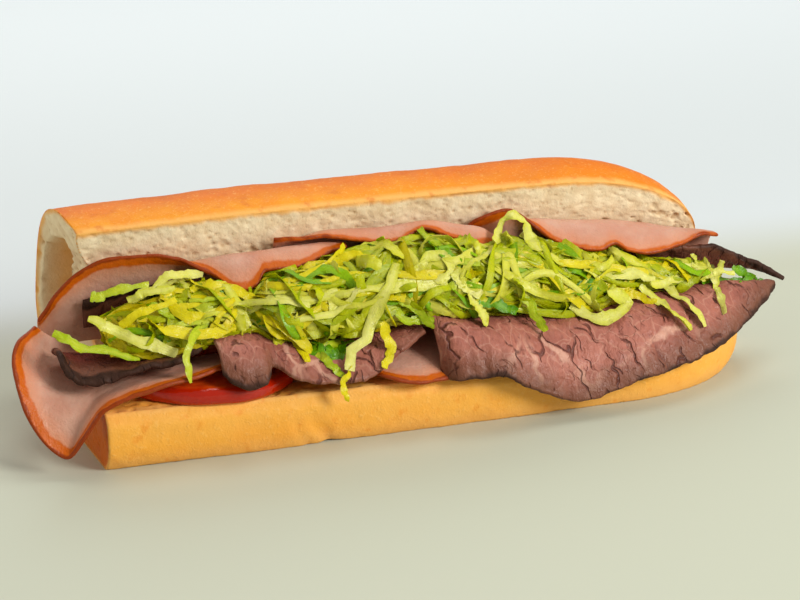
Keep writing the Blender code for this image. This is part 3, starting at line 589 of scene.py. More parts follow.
def slicePiece(name, shape, kind, wave, carve, material):
    fan = len(shape["rim"][0]) == 4
    start, end = shape["rim"][0][0], shape["rim"][-1][0]
    rounding = kind["thickness"] / 2
    length = 95.0 if fan else end - start  # millimetres round the fan
    at = start + (end - start) * edgeSpaced(length, kind["step"], rounding)
    root, crest, rim = (along(shape[key], at) for key in ("root", "crest", "rim"))
    if not fan:
        root, crest, rim = (np.hstack([at[:, None], line]) for line in (root, crest, rim))
    width = np.linalg.norm(crest - root, axis=1).mean() + np.linalg.norm(rim - crest, axis=1).mean()
    t = edgeSpaced(width, kind["step"], rounding)
    middle = sheetThrough(root, crest, rim, shape["bulge"], t)
    if "curl" in shape:  # the first end turns in under itself
        reach, depth = shape["curl"]
        turnedIn = np.clip(1 - (at - start) / reach, 0, 1)[:, None] ** 2 * smooth(t, 0.35, 0.7)[None]
        middle = middle + (turnedIn * depth)[..., None] * np.array([0.25, 1.0, 0.0])
    if "ragged" in kind:
        outwards = unit(middle[:, -1] - middle[:, -5])[:, None]
        notches = kind["ragged"] * (layeredNoise(middle[:, -1], 5.0, 95) - 0.6)[:, None, None]
        fromRim = np.linalg.norm(middle - middle[:, -1:], axis=-1)
        middle = middle + outwards * notches * smooth(fromRim, 7.0, 0.0)[..., None]
    # millimetres from the rim line, along the slice and across it
    toRim = np.linalg.norm(middle - middle[:, -1:], axis=-1)
    alongMm = np.linalg.norm(np.diff(middle[:, len(t) * 2 // 3], axis=0), axis=1)
    alongMm = np.concatenate([[0], np.cumsum(alongMm)])[:, None] + 0 * toRim
    acrossMm = np.linalg.norm(np.diff(middle, axis=1), axis=-1).cumsum(axis=1)
    acrossMm = np.concatenate([np.zeros((len(at), 1)), acrossMm], axis=1)
    place = np.stack([alongMm, acrossMm, 0 * toRim], axis=-1)
    edge = np.minimum.reduce([toRim, acrossMm, alongMm, alongMm[-1:] - alongMm])
    middle = middle + gridNormals(middle) * (shape.get("crumple", 1.0) * wave(place, toRim))[..., None]
    carved = carve(place, toRim) * smooth(edge, 0.2, 1.6)
    half = rounding * np.sqrt(1 - (1 - np.clip(edge / rounding, 0, 1)) ** 2)
    offset = gridNormals(middle) * (half - carved)[..., None]
    points = np.concatenate([middle + offset, middle - offset])
    count = toRim.size
    quads = np.concatenate([gridQuads(*toRim.shape), gridQuads(*toRim.shape, count)[:, ::-1]])
    marks = {"rimDistance": np.minimum(toRim, 60), "place": place * metresPerMm, "carved": carved,
             "edgeWidth": along(shape["edge"], at) + 0 * toRim}
    if "shadeAndCrispDark" in shape:
        marks["shadeAndCrispDark"] = shape["shadeAndCrispDark"] + 0 * toRim
    for key, values in marks.items():
        marks[key] = np.concatenate([values, values]).reshape(2 * count, *values.shape[2:])
    handIn(makeMesh(name, points, quads, marks, material), shape["node"])


def hamMaterial():
    s = Surface("ham", Subsurface_Weight=0.06, Subsurface_Scale=0.004, Specular_IOR_Level=0.25)
    flesh = s.mix(s.mottle(14.0, 0.3, 0.75), ham["flesh"], ham["fleshDeep"])
    flesh = s.mix(s.mottle(2.0, 0.5, 0.8), flesh, ham["fleshDeep"], 0.35)
    rindWidth = s.mark("edgeWidth")
    fromRim = s.maths("ADD", s.mark("rimDistance"), s.times(s.mottle(6.0, 0.2, 0.8), 1.4))
    beyond = s.maths("SUBTRACT", fromRim, rindWidth)
    flesh = s.mix(s.step(beyond, 0.5, 7.0, 0.6, 0.0), flesh, ham["nearRind"])
    outer = s.maths("SUBTRACT", fromRim, s.times(rindWidth, 0.35))
    rind = s.mix(s.step(outer, 0.0, 0.9, 0.9, 0.0), ham["rind"], ham["rindDark"])
    s.feed(Base_Color=s.mix(s.step(beyond, 0.0, 1.3, 1.0, 0.0), flesh, rind),
           Roughness=s.step(s.mottle(4.0), 0.0, 1.0, 0.32, 0.48))
    s.bump((s.mottle(0.8), 0.05), (s.mottle(5.0), 0.2))
    return s.material


def cellBorders(s, place, size, line, fade, slant):
    # 1 on the borders between bent cells of this size in millimetres, turned by slant in radians, 0 away from them
    bend = s.add("TexNoise", {"Vector": place, "Scale": 160.0, "Detail": 1.0}).outputs["Color"]
    shift = s.add("VectorMath", {0: bend, 1: (0.5, 0.5, 0.5)}, operation="SUBTRACT").outputs[0]
    shift = s.add("VectorMath", {0: shift, "Scale": 0.008}, operation="SCALE").outputs[0]
    bent = s.add("VectorMath", {0: place, 1: shift}, operation="ADD").outputs[0]
    turned = s.add("Mapping", {"Vector": bent, "Rotation": (0.0, 0.0, slant)}).outputs[0]
    cells = s.add("TexVoronoi", {"Vector": s.scaled(turned, (1000 / size[0], 1000 / size[1], 0.0)), "Scale": 1.0},
                  feature="DISTANCE_TO_EDGE", voronoi_dimensions="2D")
    return s.step(cells.outputs["Distance"], line, line + fade, 1.0, 0.0)


def beefMaterial():
    s = Surface("beef", Specular_IOR_Level=0.28)
    place = s.mark("place", "Vector")
    stretched = s.scaled(place, (1.0, 0.4, 1.0))
    flesh = s.mix(s.mottle(14.0, 0.3, 0.75), beef["flesh"], beef["fleshDeep"], 0.45)
    flesh = s.mix(s.mottle(1.4, 0.35, 0.75, stretched), flesh, beef["fleshDeep"], 0.3)
    # borders of bent cells: fat round the muscle bundles, then cracks across the grain, each open only in patches
    fatLine = s.times(cellBorders(s, place, (30, 55), 0.012, 0.035, -0.25), s.mottle(30.0, 0.46, 0.60))
    flesh = s.mix(fatLine, flesh, beef["fat"], 0.62)
    flesh = s.mix(cellBorders(s, place, (7, 8), 0.005, 0.06, 0.0), flesh, beef["fat"], 0.22)
    # painted shade: slices tucked under the ham and lettuce are darkened towards the deep flesh colour; on the front
    # left slice this is partly its crisper, darker meat
    flesh = s.mix(s.mark("shadeAndCrispDark"), flesh, beef["fleshDeep"])
    cracks = s.times(cellBorders(s, place, (9, 30), 0.010, 0.040, 0.38), s.mottle(11.0, 0.47, 0.56))
    splits = s.times(cellBorders(s, place, (4, 8), 0.004, 0.06, 0.5), s.mottle(7.0, 0.52, 0.64))
    parted = s.maths("MAXIMUM", cracks, s.times(splits, 0.45))
    # deepest: the cracks and carved grooves, where painted shade goes
    deepest = s.maths("MAXIMUM", parted, s.step(s.mark("carved"), 0.2, 0.8, 0.0, 0.5))
    fromRim = s.maths("ADD", s.mark("rimDistance"), s.times(s.mottle(9.0, 0.2, 0.8), 3.0))
    fromRim = s.maths("SUBTRACT", fromRim, s.mark("edgeWidth"))
    flesh = s.mix(s.step(fromRim, 0.0, 13.0, 0.9, 0.0), flesh, beef["browned"])
    # painted shade: cracks and carved grooves darkened, as shade inside them
    flesh = s.mix(deepest, flesh, beef["crackShade"], 0.75)
    char = s.step(fromRim, -1.5, 0.8, 0.9, 0.0)
    shine = s.step(s.mottle(3.0), 0.0, 1.0, 0.34, 0.55)
    s.feed(Base_Color=s.mix(char, flesh, beef["char"]), Roughness=s.maths("ADD", shine, s.times(char, 0.3)))
    closed = s.maths("SUBTRACT", 1.0, parted)
    s.bump((s.mottle(0.9, vector=stretched), 0.10), (s.mottle(2.2), 0.18), (closed, 0.5))
    return s.material


def hamWave(place, toRim):
    return 0.5 * layeredNoise(place, 22.0, 71) + 0.4 * layeredNoise(place, 9.0, 72) * smooth(toRim, 9.0, 0.0)


def hamCarve(place, toRim):
    return 0.03 * layeredNoise(place, 3.0, 73)


def beefWave(place, toRim):
    return 0.7 * layeredNoise(place, 15.0, 81) + 0.7 * layeredNoise(place, 5.0, 82) * smooth(toRim, 8.0, 0.0)


def ridgeLines(place, size, stretch, seed, sharpness):
    # narrow lines where bent, stretched noise passes its middle: 1 - sharpness |2n - 1|, not under 0
    bent = place * np.array([1.0, stretch, 1.0]) + 1.3 * layeredNoise(place, 6.0, seed)[..., None]
    return np.clip(1 - np.abs(2 * softNoise(bent, size, seed + 1) - 1) * sharpness, 0, 1)


def beefCarve(place, toRim):
    # cracks across the grain, some long and some short, open in patches, and slanting scores every 11 mm
    grain = 0.08 * layeredNoise(place * np.array([1.0, 0.35, 1.0]), 1.8, 86)
    long = ridgeLines(place, 6.0, 0.35, 183, 7.0) * smooth(softNoise(place, 14.0, 85), 0.15, 0.5)
    short = ridgeLines(place, 3.4, 0.6, 283, 5.0) * smooth(softNoise(place, 8.0, 87), 0.35, 0.6)
    slanting = place[..., 0] - 0.35 * place[..., 1] + 1.6 * layeredNoise(place, 9.0, 88)
    scored = np.clip(1 - np.abs(slanting % 11.0 - 5.5) / 0.7, 0, 1) * smooth(toRim, 30.0, 12.0)
    scored = scored * smooth(softNoise(place, 17.0, 89), 0.4, 0.55)
    return grain + 0.4 * long + 0.25 * short + 0.9 * scored


hamReady, beefReady = hamMaterial(), beefMaterial()
for sliceName, shape in slices.items():
    if shape["kind"] == "ham":
        slicePiece(sliceName, shape, ham, hamWave, hamCarve, hamReady)
    else:
        slicePiece(sliceName, shape, beef, beefWave, beefCarve, beefReady)


# ---- tomato slice

tomato = dict(
    radii=(33.0, 26.4), thickness=6.8, centre=(42.5, 24.8, 23.6), tilt=2.6, rounding=3.0, sides=160,
    skin=colour(172, 28, 0), flesh=colour(210, 76, 14),
)


def tomatoPiece():
    # profile (r, z) from the middle of the underside round the skin to the middle of the top, swept round an oval
    half, corner = tomato["thickness"] / 2, tomato["rounding"]
    turn = np.linspace(0, math.pi / 2, 8)
    skinR = 1 - corner / 27 * (1 - np.concatenate([np.sin(turn), np.cos(turn)]))
    skinZ = np.concatenate([-half + corner * (1 - np.cos(turn)), half - corner * (1 - np.sin(turn))])
    flatR = (1 - np.linspace(0, 1, 26)[1:] ** 0.8) * (1 - corner / 27)
    r = np.concatenate([flatR[::-1], skinR, flatR])[:, None]
    z = np.concatenate([np.full(25, -half), skinZ, np.full(25, half)])[:, None]
    around = np.linspace(0, 2 * math.pi, tomato["sides"], endpoint=False)
    uneven = 1 + 0.012 * np.sin(5 * around + 1) + 0.008 * np.sin(9 * around)
    x = tomato["radii"][0] * r * np.cos(around) * uneven
    y = tomato["radii"][1] * r * np.sin(around) * uneven
    level = z + 0.15 * layeredNoise(np.stack([x, y, 0 * x], axis=-1), 6.0, 91)
    lean = math.radians(tomato["tilt"])
    grid = np.stack([x * math.cos(lean) + level * math.sin(lean), y,
                     level * math.cos(lean) - x * math.sin(lean)], axis=-1)
    piece = makeMesh("tomatoSlice", grid + np.array(tomato["centre"]), gridQuads(*x.shape, wrap=True),
                     {"radius": (r + 0 * x).ravel()}, tomatoMaterial())
    handIn(piece, "tomato_slice")


def tomatoMaterial():
    s = Surface("tomato", Roughness=0.08, Coat_Weight=0.3, Coat_Roughness=0.05, Specular_IOR_Level=0.3)
    inside = s.mix(s.mottle(8.0, 0.35, 0.65), tomato["flesh"], tomato["skin"])
    s.feed(Base_Color=s.mix(s.step(s.mark("radius"), 0.9, 0.96), inside, tomato["skin"]))
    s.bump((s.mottle(3.0), 0.12))
    return s.material


tomatoPiece()


# ---- lettuce: a core and loose shreds over it, one piece for each kind

lettuce = dict(
    core=[(-6, 23, 40.5, 4, 2.5), (4, 22.5, 41.5, 8, 3.5), (20, 22.5, 43.5, 10, 4.5), (36, 25, 46, 9.5, 4.5),
          (48, 24.5, 46.8, 8.5, 4.2), (57, 27, 44, 7, 3), (66, 21.5, 46.6, 9.5, 5.2), (80, 23.5, 46.8, 12, 7),
          (104, 25, 48.5, 13.5, 8.5), (122, 26, 49.2, 12, 8), (150, 25.4, 46.6, 12, 7.6), (175, 27.5, 43.6, 11.5, 6),
          (200, 27, 40.8, 8.5, 5), (228, 26.8, 38.4, 5.5, 3.3), (246, 28, 36.4, 3, 2.2)],
    restUnder=[(-12, 38), (38, 38), (50, 41.6), (57, 41), (63, 38), (80, 35), (106, 36), (121, 40), (140, 37),
               (164, 33.6), (186, 32.2), (211, 33), (236, 33.6), (265, 32)],
    roofs=("hamBackLeft", "hamBackMiddle", "hamBackRight"), tilt=math.radians(36.0), coreShrink=0.55, coreSpan=(8, 240),
    shredSpan=(10, 226), reach=(6, 238), curlSpan=(12, 208), sharpFrom=math.radians(70),
    # the core's two colours are painted shade for the depths between the shreds
    paintedShadeDeep=colour(112, 108, 4), shadow=colour(60, 60, 4),
)
shredKinds = {
    "shredsYellow": dict(count=220, seed=1, width=(2.2, 4.6), length=(24, 64), thickness=0.5, crowd=2.0,
                         leaf=colour(204, 186, 0), rib=colour(220, 208, 20)),
    "shredsGreen": dict(count=380, seed=2, width=(2.0, 4.5), length=(22, 62), thickness=0.45, crowd=0.86,
                        leaf=colour(148, 166, 0), rib=colour(190, 192, 6)),
    "shredsBright": dict(count=130, seed=3, width=(1.6, 4.0), length=(16, 42), thickness=0.4, crowd=0.9,
                         leaf=colour(92, 152, 0), rib=colour(152, 188, 0)),
    "shredsPale": dict(count=200, seed=4, width=(2.0, 4.4), length=(18, 54), thickness=0.8, crowd=0.85,
                       leaf=colour(190, 192, 14), rib=colour(214, 211, 94)),
    "slivers": dict(count=90, seed=8, width=(0.9, 1.8), length=(18, 44), thickness=0.5, crowd=1.0,
                    leaf=colour(190, 184, 0), rib=colour(208, 200, 20)),
    "leafPatches": dict(count=40, seed=9, width=(5.5, 9.0), length=(12, 22), thickness=0.45, crowd=0.9,
                        leaf=colour(152, 168, 0), rib=colour(192, 192, 6)),
}
curlKinds = {
    "curlsGreen": dict(count=22, seed=5, width=(2.4, 4.6), radius=(4.0, 8.0), thickness=0.5,
                       leaf=colour(156, 172, 0), rib=colour(194, 195, 14)),
    "curlsPale": dict(count=16, seed=6, width=(2.8, 5.0), radius=(4.0, 8.0), thickness=0.8,
                      leaf=colour(190, 192, 14), rib=colour(214, 211, 94)),
}
# shreds that the photo shows one by one: width, then points given along the shred, in loaf millimetres
laidShreds = {
    "laidPale": dict(thickness=0.7, leaf=colour(196, 199, 32), rib=colour(224, 221, 130), lines=[
        (3.6, [(205.5, 18, 38), (212, 13.5, 32.5), (215, 6, 30), (219.5, 2, 25)]),
        (2.4, [(239.5, 26, 32.5), (237, 15, 31.5), (237, 9.5, 26.5)]),
        (3.4, [(214.5, 24, 39.5), (220, 19, 33.5), (223.5, 10.5, 31.5), (227, 4, 24.5)]),
        (4, [(-1, 15, 52.5), (4, 13, 50.5), (10, 11.5, 46), (19, 9.5, 42.5), (28.5, 8.5, 38)]),
        (5, [(176.5, 13, 36), (181, 10.5, 32.5), (186, 7, 31.5), (192.5, 7.5, 32.5), (199, 14, 33.5), (196, 13.5, 37),
             (191, 13.5, 39)]),
        (4.6, [(151.5, 26.5, 59), (155.5, 32, 62.5), (159.5, 31, 66.5), (165, 31, 64), (166.5, 29, 58),
               (167.5, 23, 54.5)]),
        (4, [(163.5, 31.5, 59), (170, 24, 53.5), (178.5, 20.5, 48.5)]),
        (4, [(120, 18, 57), (124, 19, 59), (129, 18.5, 58.5), (130, 15, 55), (125.5, 13, 52), (120.5, 14, 53)]),
        (4.4, [(131.5, 17.5, 56), (133.5, 12.5, 51), (140, 10.5, 44.5)]),
        (4.4, [(136, 11, 46.5), (139.5, 8.5, 40.5), (141.5, 6, 35)]),
        (4.6, [(110.5, 17.5, 58.5), (105, 10, 51.5), (99.5, 9, 45), (95.5, 4, 38), (89.5, 0.5, 34), (87, -3, 29)]),
        (3.6, [(84, 12.5, 50), (95.5, 11.5, 52.5), (109.5, 11, 52), (128.5, 13, 51)]),
        (3.6, [(55.5, 20, 45.5), (65.5, 14, 52), (77, 12, 50.5), (88, 14, 52.5)]),
        (3.2, [(22, 23, 56.5), (31.5, 27, 59.5), (44, 33, 56.5)]),
        (2.8, [(14.5, 21, 55), (22, 20, 57.5), (31, 20, 58)]),
        (3.4, [(183.5, 18.5, 47), (193, 17.5, 43.5), (204, 18.5, 43), (211, 16, 40.5)]),
        (3, [(209.5, 17, 38.5), (221.5, 21, 37.5), (233, 25, 38)]),
        (2.4, [(232.5, 23, 36), (239.5, 24, 37), (247, 24, 36)]),
        (2, [(236, 28, 42), (237, 25, 38), (238.5, 22, 33)]),
        (2.2, [(231.5, 29, 43.5), (233, 26, 39.5), (234.5, 23, 34.5)]),
        (2.2, [(244, 29, 39.5), (241.5, 26, 36), (237, 20.5, 32)]),
        (2.6, [(222, 26, 42.5), (226, 24, 40.5), (233.5, 26, 39.5)]),
        (2.4, [(60, 17, 46), (71, 7.5, 46), (83.5, 8, 46), (90.5, 9.5, 49.5), (95.5, 12, 54)]),
        (1.8, [(16.5, 25.5, 52), (27, 30, 55), (38.5, 33, 55.5)]),
        (2.2, [(40, 15, 48.5), (52.5, 19, 49.5), (65, 13, 51.5), (77, 10, 49)]),
        (1.6, [(36, 34, 56.5), (35.5, 27, 56), (36.5, 21.5, 53)]),
    ]),
    "laidYellow": dict(thickness=0.6, leaf=colour(208, 192, 0), rib=colour(222, 210, 24), lines=[
        (4.2, [(28.5, 29, 54.5), (29, 20.5, 52.5), (36.5, 15, 47.5), (51.5, 15.5, 44)]),
        (3.8, [(21.5, 18, 48), (24.5, 10, 47), (37, 9.5, 44), (47, 12.5, 44), (56.5, 21, 46.5)]),
        (2.2, [(88, -2.5, 30), (84.5, -5.5, 24.5), (85, -7, 18.5)]),
        (3.2, [(101.5, 6, 41.5), (104, 3, 32.5), (100, -2, 27.5)]),
        (4.4, [(49.5, 24.5, 54.5), (60, 20.5, 49.5), (67, 9, 43.5), (76, 5.5, 33)]),
        (3.4, [(174.5, 20.5, 49.5), (186.5, 21, 48), (198, 20, 45), (210, 20, 42.5)]),
        (3.4, [(37.5, 32, 55.5), (45, 24.5, 55.5), (58, 26, 50)]),
        (3, [(10, 16, 48), (19.5, 16, 52), (30.5, 18, 54)]),
        (3.6, [(88, 23.5, 59), (97, 23, 61), (107, 19, 58.5)]),
        (3, [(191, 16.5, 41), (201, 16, 36), (211, 14, 32.5)]),
        (3, [(208.5, 25, 44.5), (217, 24, 41.5), (225.5, 22, 37)]),
        (2.6, [(61, 14.5, 46), (64, 9, 40.5), (71, 10.5, 36.5), (73, 0.5, 32.5)]),
        (2.4, [(95.5, 31.5, 62), (87, 22.5, 59.5), (75.5, 19.5, 56.5), (70, 19.5, 55.5)]),
        (2, [(17.5, 17, 47.5), (29, 19, 50.5), (41, 19, 52), (52, 24.5, 52.5)]),
        (1.8, [(41.5, 12.5, 44), (46.5, 14.5, 48.5), (54.5, 23, 50.5)]),
        (2.2, [(26, 22.5, 52.5), (32.5, 25, 54.5), (41.5, 24.5, 55)]),
    ]),
    "laidGreen": dict(thickness=0.5, leaf=colour(146, 176, 0), rib=colour(198, 203, 50), lines=[
        (3.2, [(-13.5, 13, 49.5), (-8, 11, 46.5), (-2.5, 10, 43), (5.5, 9, 41.5), (15, 8.5, 38)]),
        (3.6, [(2, 24, 56.5), (6.5, 24, 56.5), (14, 24, 58.5), (23, 25, 58.5)]),
        (2.8, [(43, 16, 48.5), (39, 13.5, 45.5), (32.5, 4, 43.5), (30, 0, 38), (30.5, -3, 31.5)]),
        (3, [(125, 34, 64.5), (127.5, 27, 62), (131.5, 18, 58), (142.5, 17, 55)]),
        (3, [(156, 11, 43.5), (159.5, 7.5, 38), (162.5, 2.5, 31.5)]),
        (3.2, [(75, 17, 54.5), (69, 10.5, 48), (60.5, 14.5, 42)]),
        (3.6, [(21.5, 18, 53.5), (32, 18, 49), (44, 18, 50)]),
        (3, [(125.5, 13, 44.5), (130.5, 12, 49.5), (140, 13, 50)]),
        (3.4, [(76, 13.5, 34.5), (81, 8.5, 34), (90, 14, 33), (90.5, 9.5, 43.5)]),
        (2.6, [(77.5, 5, 33), (81, 1, 30.5), (85, -2.5, 26.5)]),
        (3.2, [(108, 10, 43.5), (114, 9, 38.5), (123, 10, 38.5)]),
        (2.8, [(109.5, 10, 47.5), (116.5, 10.5, 42), (120.5, 4.5, 37.5)]),
        (2, [(58.5, 23, 49), (65, 11, 49), (73, 7.5, 42)]),
        (1.8, [(18.5, 14, 44), (30, 13.5, 46), (43, 14, 47)]),
        (1.6, [(36, 20, 52.5), (44, 19, 53), (53, 19.5, 49)]),
    ]),
    "laidDark": dict(thickness=0.45, leaf=colour(64, 128, 0), rib=colour(128, 176, 0), lines=[
        (5, [(229.5, 26, 37), (240, 26, 32.5), (253, 26, 29.5)]),
        (4, [(248.5, 29, 36), (255.5, 28, 31.5), (260, 25, 26.5)]),
        (4.4, [(249.5, 23, 29), (255, 25, 31), (259, 24, 29)]),
        (5.5, [(75.5, 10, 34.5), (80.5, 5, 33.5), (90, 12, 33)]),
        (4.6, [(81, 1.5, 30), (86, 5, 32), (92.5, 13, 33)]),
        (4, [(126.5, 29.5, 62.5), (128, 21, 60), (135, 17, 55.5)]),
        (4.4, [(170, 14, 38.5), (178, 14, 41), (187, 16, 42)]),
        (4, [(138, 11.5, 43.5), (144.5, 10.5, 41.5), (153, 8, 38)]),
        (3.6, [(56.5, 17.5, 40), (61, 15, 43.5), (64.5, 10.5, 44.5)]),
    ]),
}


def onCore(x, turn, lift):
    # the core is an oval tube leaning back with the lid; lift is how far out of it a point stands
    y, z, wide, high = (column.reshape(x.shape) for column in along(lettuce["core"], x.ravel()).T)
    girth = (wide + high) / 2
    ahead, upright = np.cos(turn), np.sin(turn)
    lean, stand = math.sin(lettuce["tilt"]), math.cos(lettuce["tilt"])
    across, rise = wide * ahead * (1 + lift / girth), high * upright * (1 + lift / girth)
    points = np.stack([x, y + across * stand - rise * lean, z + across * lean + rise * stand], axis=-1)
    outward = np.stack([0 * x, ahead / wide * stand - upright / high * lean,
                        ahead / wide * lean + upright / high * stand], axis=-1)
    return points, unit(outward), girth


def tuckedIn(points):
    # above what lies under the heap, and below the slices that hang over it
    x, y, z = points.reshape(-1, 3).T
    rest = along(lettuce["restUnder"], x)[:, 0]
    z = np.where(y > 6, np.maximum(z, rest), z)
    for name in lettuce["roofs"]:
        rim, crest = (along(slices[name][key], x) for key in ("rim", "crest"))
        inside = (x > slices[name]["rim"][0][0] + 2) & (x < slices[name]["rim"][-1][0] - 2)
        share = (y - rim[:, 0]) / np.maximum(crest[:, 0] - rim[:, 0], 1)
        roof = rim[:, 1] + (crest[:, 1] - rim[:, 1]) * np.clip(share, 0, 1) - 2.2
        z = np.where(inside & (share > -0.15), np.minimum(z, np.maximum(roof, rest)), z)
    return np.stack([x, y, z], axis=-1).reshape(points.shape)


def wavering(chance, count, stations, strength):
    # random steps smoothed over three stations
    raw = chance.uniform(-strength, strength, (count, stations + 2))
    return (raw[:, :-2] + raw[:, 1:-1] + raw[:, 2:]) / 1.8


def ribbons(name, kind, chance, centres, facing, width, cup, raggedness=0.26):
    # flat four-cornered section at each station, its two edges ragged and ruffled each in its own way:
    # centre + side half a (1 + ragged) + flat (thickness / 2 b + cup (a^2 - 1) + ruffle a)
    count, stations = centres.shape[:2]
    side = unit(np.cross(unit(np.gradient(centres, axis=1)), facing))
    flat = np.cross(side, unit(np.gradient(centres, axis=1)))
    width = width[:, None, None]
    taper = 1 - 0.3 * np.abs(np.linspace(-1, 1, stations)) ** 6
    still = np.zeros((count, stations))

    def bothEdges(strength):
        return np.stack([wavering(chance, count, stations, strength), still,
                         wavering(chance, count, stations, strength), still], axis=-1)

    ragged, ruffle = bothEdges(raggedness), bothEdges(0.24) * width
    a, b = np.array([1.0, 0, -1, 0]), np.array([0, 1.0, 0, -1])
    outwards = width / 2 * taper[:, None] * a * (1 + ragged)
    upwards = kind["thickness"] / 2 * b + cup[:, None, None] * (a**2 - 1) + ruffle
    points = centres[:, :, None] + side[:, :, None] * outwards[..., None] + flat[:, :, None] * upwards[..., None]
    ends = points[:, [0, -1]].mean(axis=2, keepdims=True) + 0 * points[:, [0, -1]]
    points = np.concatenate([ends[:, :1], points, ends[:, 1:]], axis=1)
    shape = points.shape[:3]
    quads = gridQuads(shape[1], 4, wrap=True) + (np.arange(count) * shape[1] * 4)[:, None, None]
    tint = np.broadcast_to(chance.random(count)[:, None, None], shape)
    way = np.linspace(0, 1, shape[1])[None, :, None] * np.ones(shape)
    way = np.where(tint > 0.5, way, 1 - way)
    # place on the shred in metres: across, along, and a third number of its own
    length = np.linalg.norm(np.diff(centres, axis=1), axis=-1).sum(axis=1)[:, None, None]
    place = np.stack([width * a * np.ones(shape), way * length, 900 * tint], axis=-1) * metresPerMm
    marks = {"tint": tint.ravel(), "ribShare": np.broadcast_to(np.abs(a), shape).ravel(),
             "towardsRib": way.ravel(), "place": place.reshape(-1, 3)}
    piece = makeMesh(name, points, quads.reshape(-1, 4), marks, shredMaterial(name, kind))
    piece.data.set_sharp_from_angle(angle=lettuce["sharpFrom"])
    handIn(piece, "lettuce")


def shredMaterial(name, kind):
    # leaf at one end, paler towards the rib at the other, with fine veins along it
    s = Surface(name, Subsurface_Weight=0.25, Subsurface_Scale=0.002, Subsurface_Radius=(0.8, 1.0, 0.2),
                Specular_IOR_Level=0.25)
    leaf = s.mix(s.step(s.mark("ribShare"), 0.1, 0.9, 0.5, 1.0), kind["rib"], kind["leaf"])
    towards = s.times(s.mark("towardsRib"), s.step(s.mark("tint"), 0.2, 0.9, 0.2, 0.9))
    leaf = s.mix(towards, leaf, kind["rib"])
    veins = s.mottle(1.0, 0.45, 0.7, s.scaled(s.mark("place", "Vector"), (1.0, 0.14, 1.0)))
    leaf = s.mix(veins, leaf, kind["rib"], 0.25)
    leaf = s.mix(s.mottle(8.0, 0.4), leaf, kind["leaf"], 0.45)
    s.feed(Base_Color=leaf, Roughness=s.step(s.mottle(5.0), 0.0, 1.0, 0.22, 0.4))
    s.bump((veins, 0.06), (s.mottle(2.4), 0.14))
    return s.material


def strewing(kind, stations):
    # a kind's random source, a way to draw one column of numbers from it, and the stations along a shred
    chance = np.random.default_rng(kind["seed"])
    draw = lambda low, high: chance.uniform(low, high, kind["count"])[:, None]
    return chance, draw, np.linspace(0, 1, stations)[None]


def spreadOver(span, chance, count, crowd=1.0):
    # one start for each, in random order along the span, closer together at its beginning where crowd is over 1
    shares = ((chance.permutation(count) + 0.5) / count) ** crowd
    return (span[0] + (span[1] - span[0]) * shares)[:, None]


def layShreds(name, kind):
    # a line on the core whose heading bends and waves on its way; facing out of the core and twisting
    chance, draw, t = strewing(kind, 20)
    length, heading = draw(*kind["length"]), np.radians(draw(-1, 1) ** 3 * 75 + 12)
    bend, wave = draw(-1.1, 1.1), draw(-0.6, 0.6)
    way = heading + bend * (t - 0.5) + wave * np.sin(2 * math.pi * t + draw(0, 6))
    run, climb = (np.cumsum(part, axis=1) * length / (t.size - 1) for part in (np.cos(way), np.sin(way)))
    run, climb = (part - part.mean(axis=1, keepdims=True) for part in (run, climb))
    x = spreadOver(lettuce["shredSpan"], chance, kind["count"], kind["crowd"]) + run
    x = x + np.maximum(0, lettuce["reach"][0] - x.min(axis=1, keepdims=True))
    x = x - np.maximum(0, x.max(axis=1, keepdims=True) - lettuce["reach"][1])
    girth = onCore(x, 0 * x, 0 * x)[2]
    turn = np.radians(draw(5, 212)) + climb / np.maximum(girth, 5)
    lift = draw(-4.5, 3.0) + draw(-0.5, 3.6) * np.sin(math.pi * t) ** 0.8 + draw(-1.2, 1.2) * np.sin(2 * math.pi * t)
    # lower by the cut end, along the front and towards the round end
    lift = lift * (0.45 + 0.55 * smooth(x, 0, 60)) - 2.2 * smooth(turn, 1.5, 0.6) - 4.0 * smooth(x, 188, 212)
    points, outward, _ = onCore(x, turn, np.maximum(lift, -0.45 * girth))
    points = tuckedIn(points)
    twist = (np.radians(draw(-50, 50)) * (t - 0.5) * 2 + np.radians(draw(-30, 30)))[..., None]
    sideways = np.cross(unit(np.gradient(points, axis=1)), outward)
    facing = outward * np.cos(twist) + sideways * np.sin(twist)
    width = chance.uniform(*kind["width"], kind["count"])
    ribbons(name, kind, chance, points, facing, width, chance.uniform(-0.5, 0.5, kind["count"]))


def layCurls(name, kind):
    # a part of a ring on the core, its flat side facing away from the ring's middle, drawn out a little like a spring
    chance, draw, t = strewing(kind, 18)
    x = spreadOver(lettuce["curlSpan"], chance, kind["count"])
    base, outward, _ = onCore(x, np.radians(draw(60, 190)), draw(0.5, 3.0))
    lean = unit(outward + 0.9 * (chance.random((kind["count"], 1, 3)) - 0.5) * 2)
    first = unit(np.cross(lean, chance.random((kind["count"], 1, 3)) - 0.5))
    second = np.cross(lean, first)
    sweep = (np.radians(draw(110, 230)) * (t - 0.5))[..., None]
    radius = (draw(*kind["radius"]) * (1 + draw(-0.3, 0.3) * (t - 0.5)))[..., None]
    radial = first * np.cos(sweep) + second * np.sin(sweep)
    points = tuckedIn(base + radial * radius + lean * (draw(-5, 5) * (t - 0.5))[..., None])
    width = chance.uniform(*kind["width"], kind["count"])
    ribbons(name, kind, chance, points, radial, width, chance.uniform(-0.5, 0.1, kind["count"]))


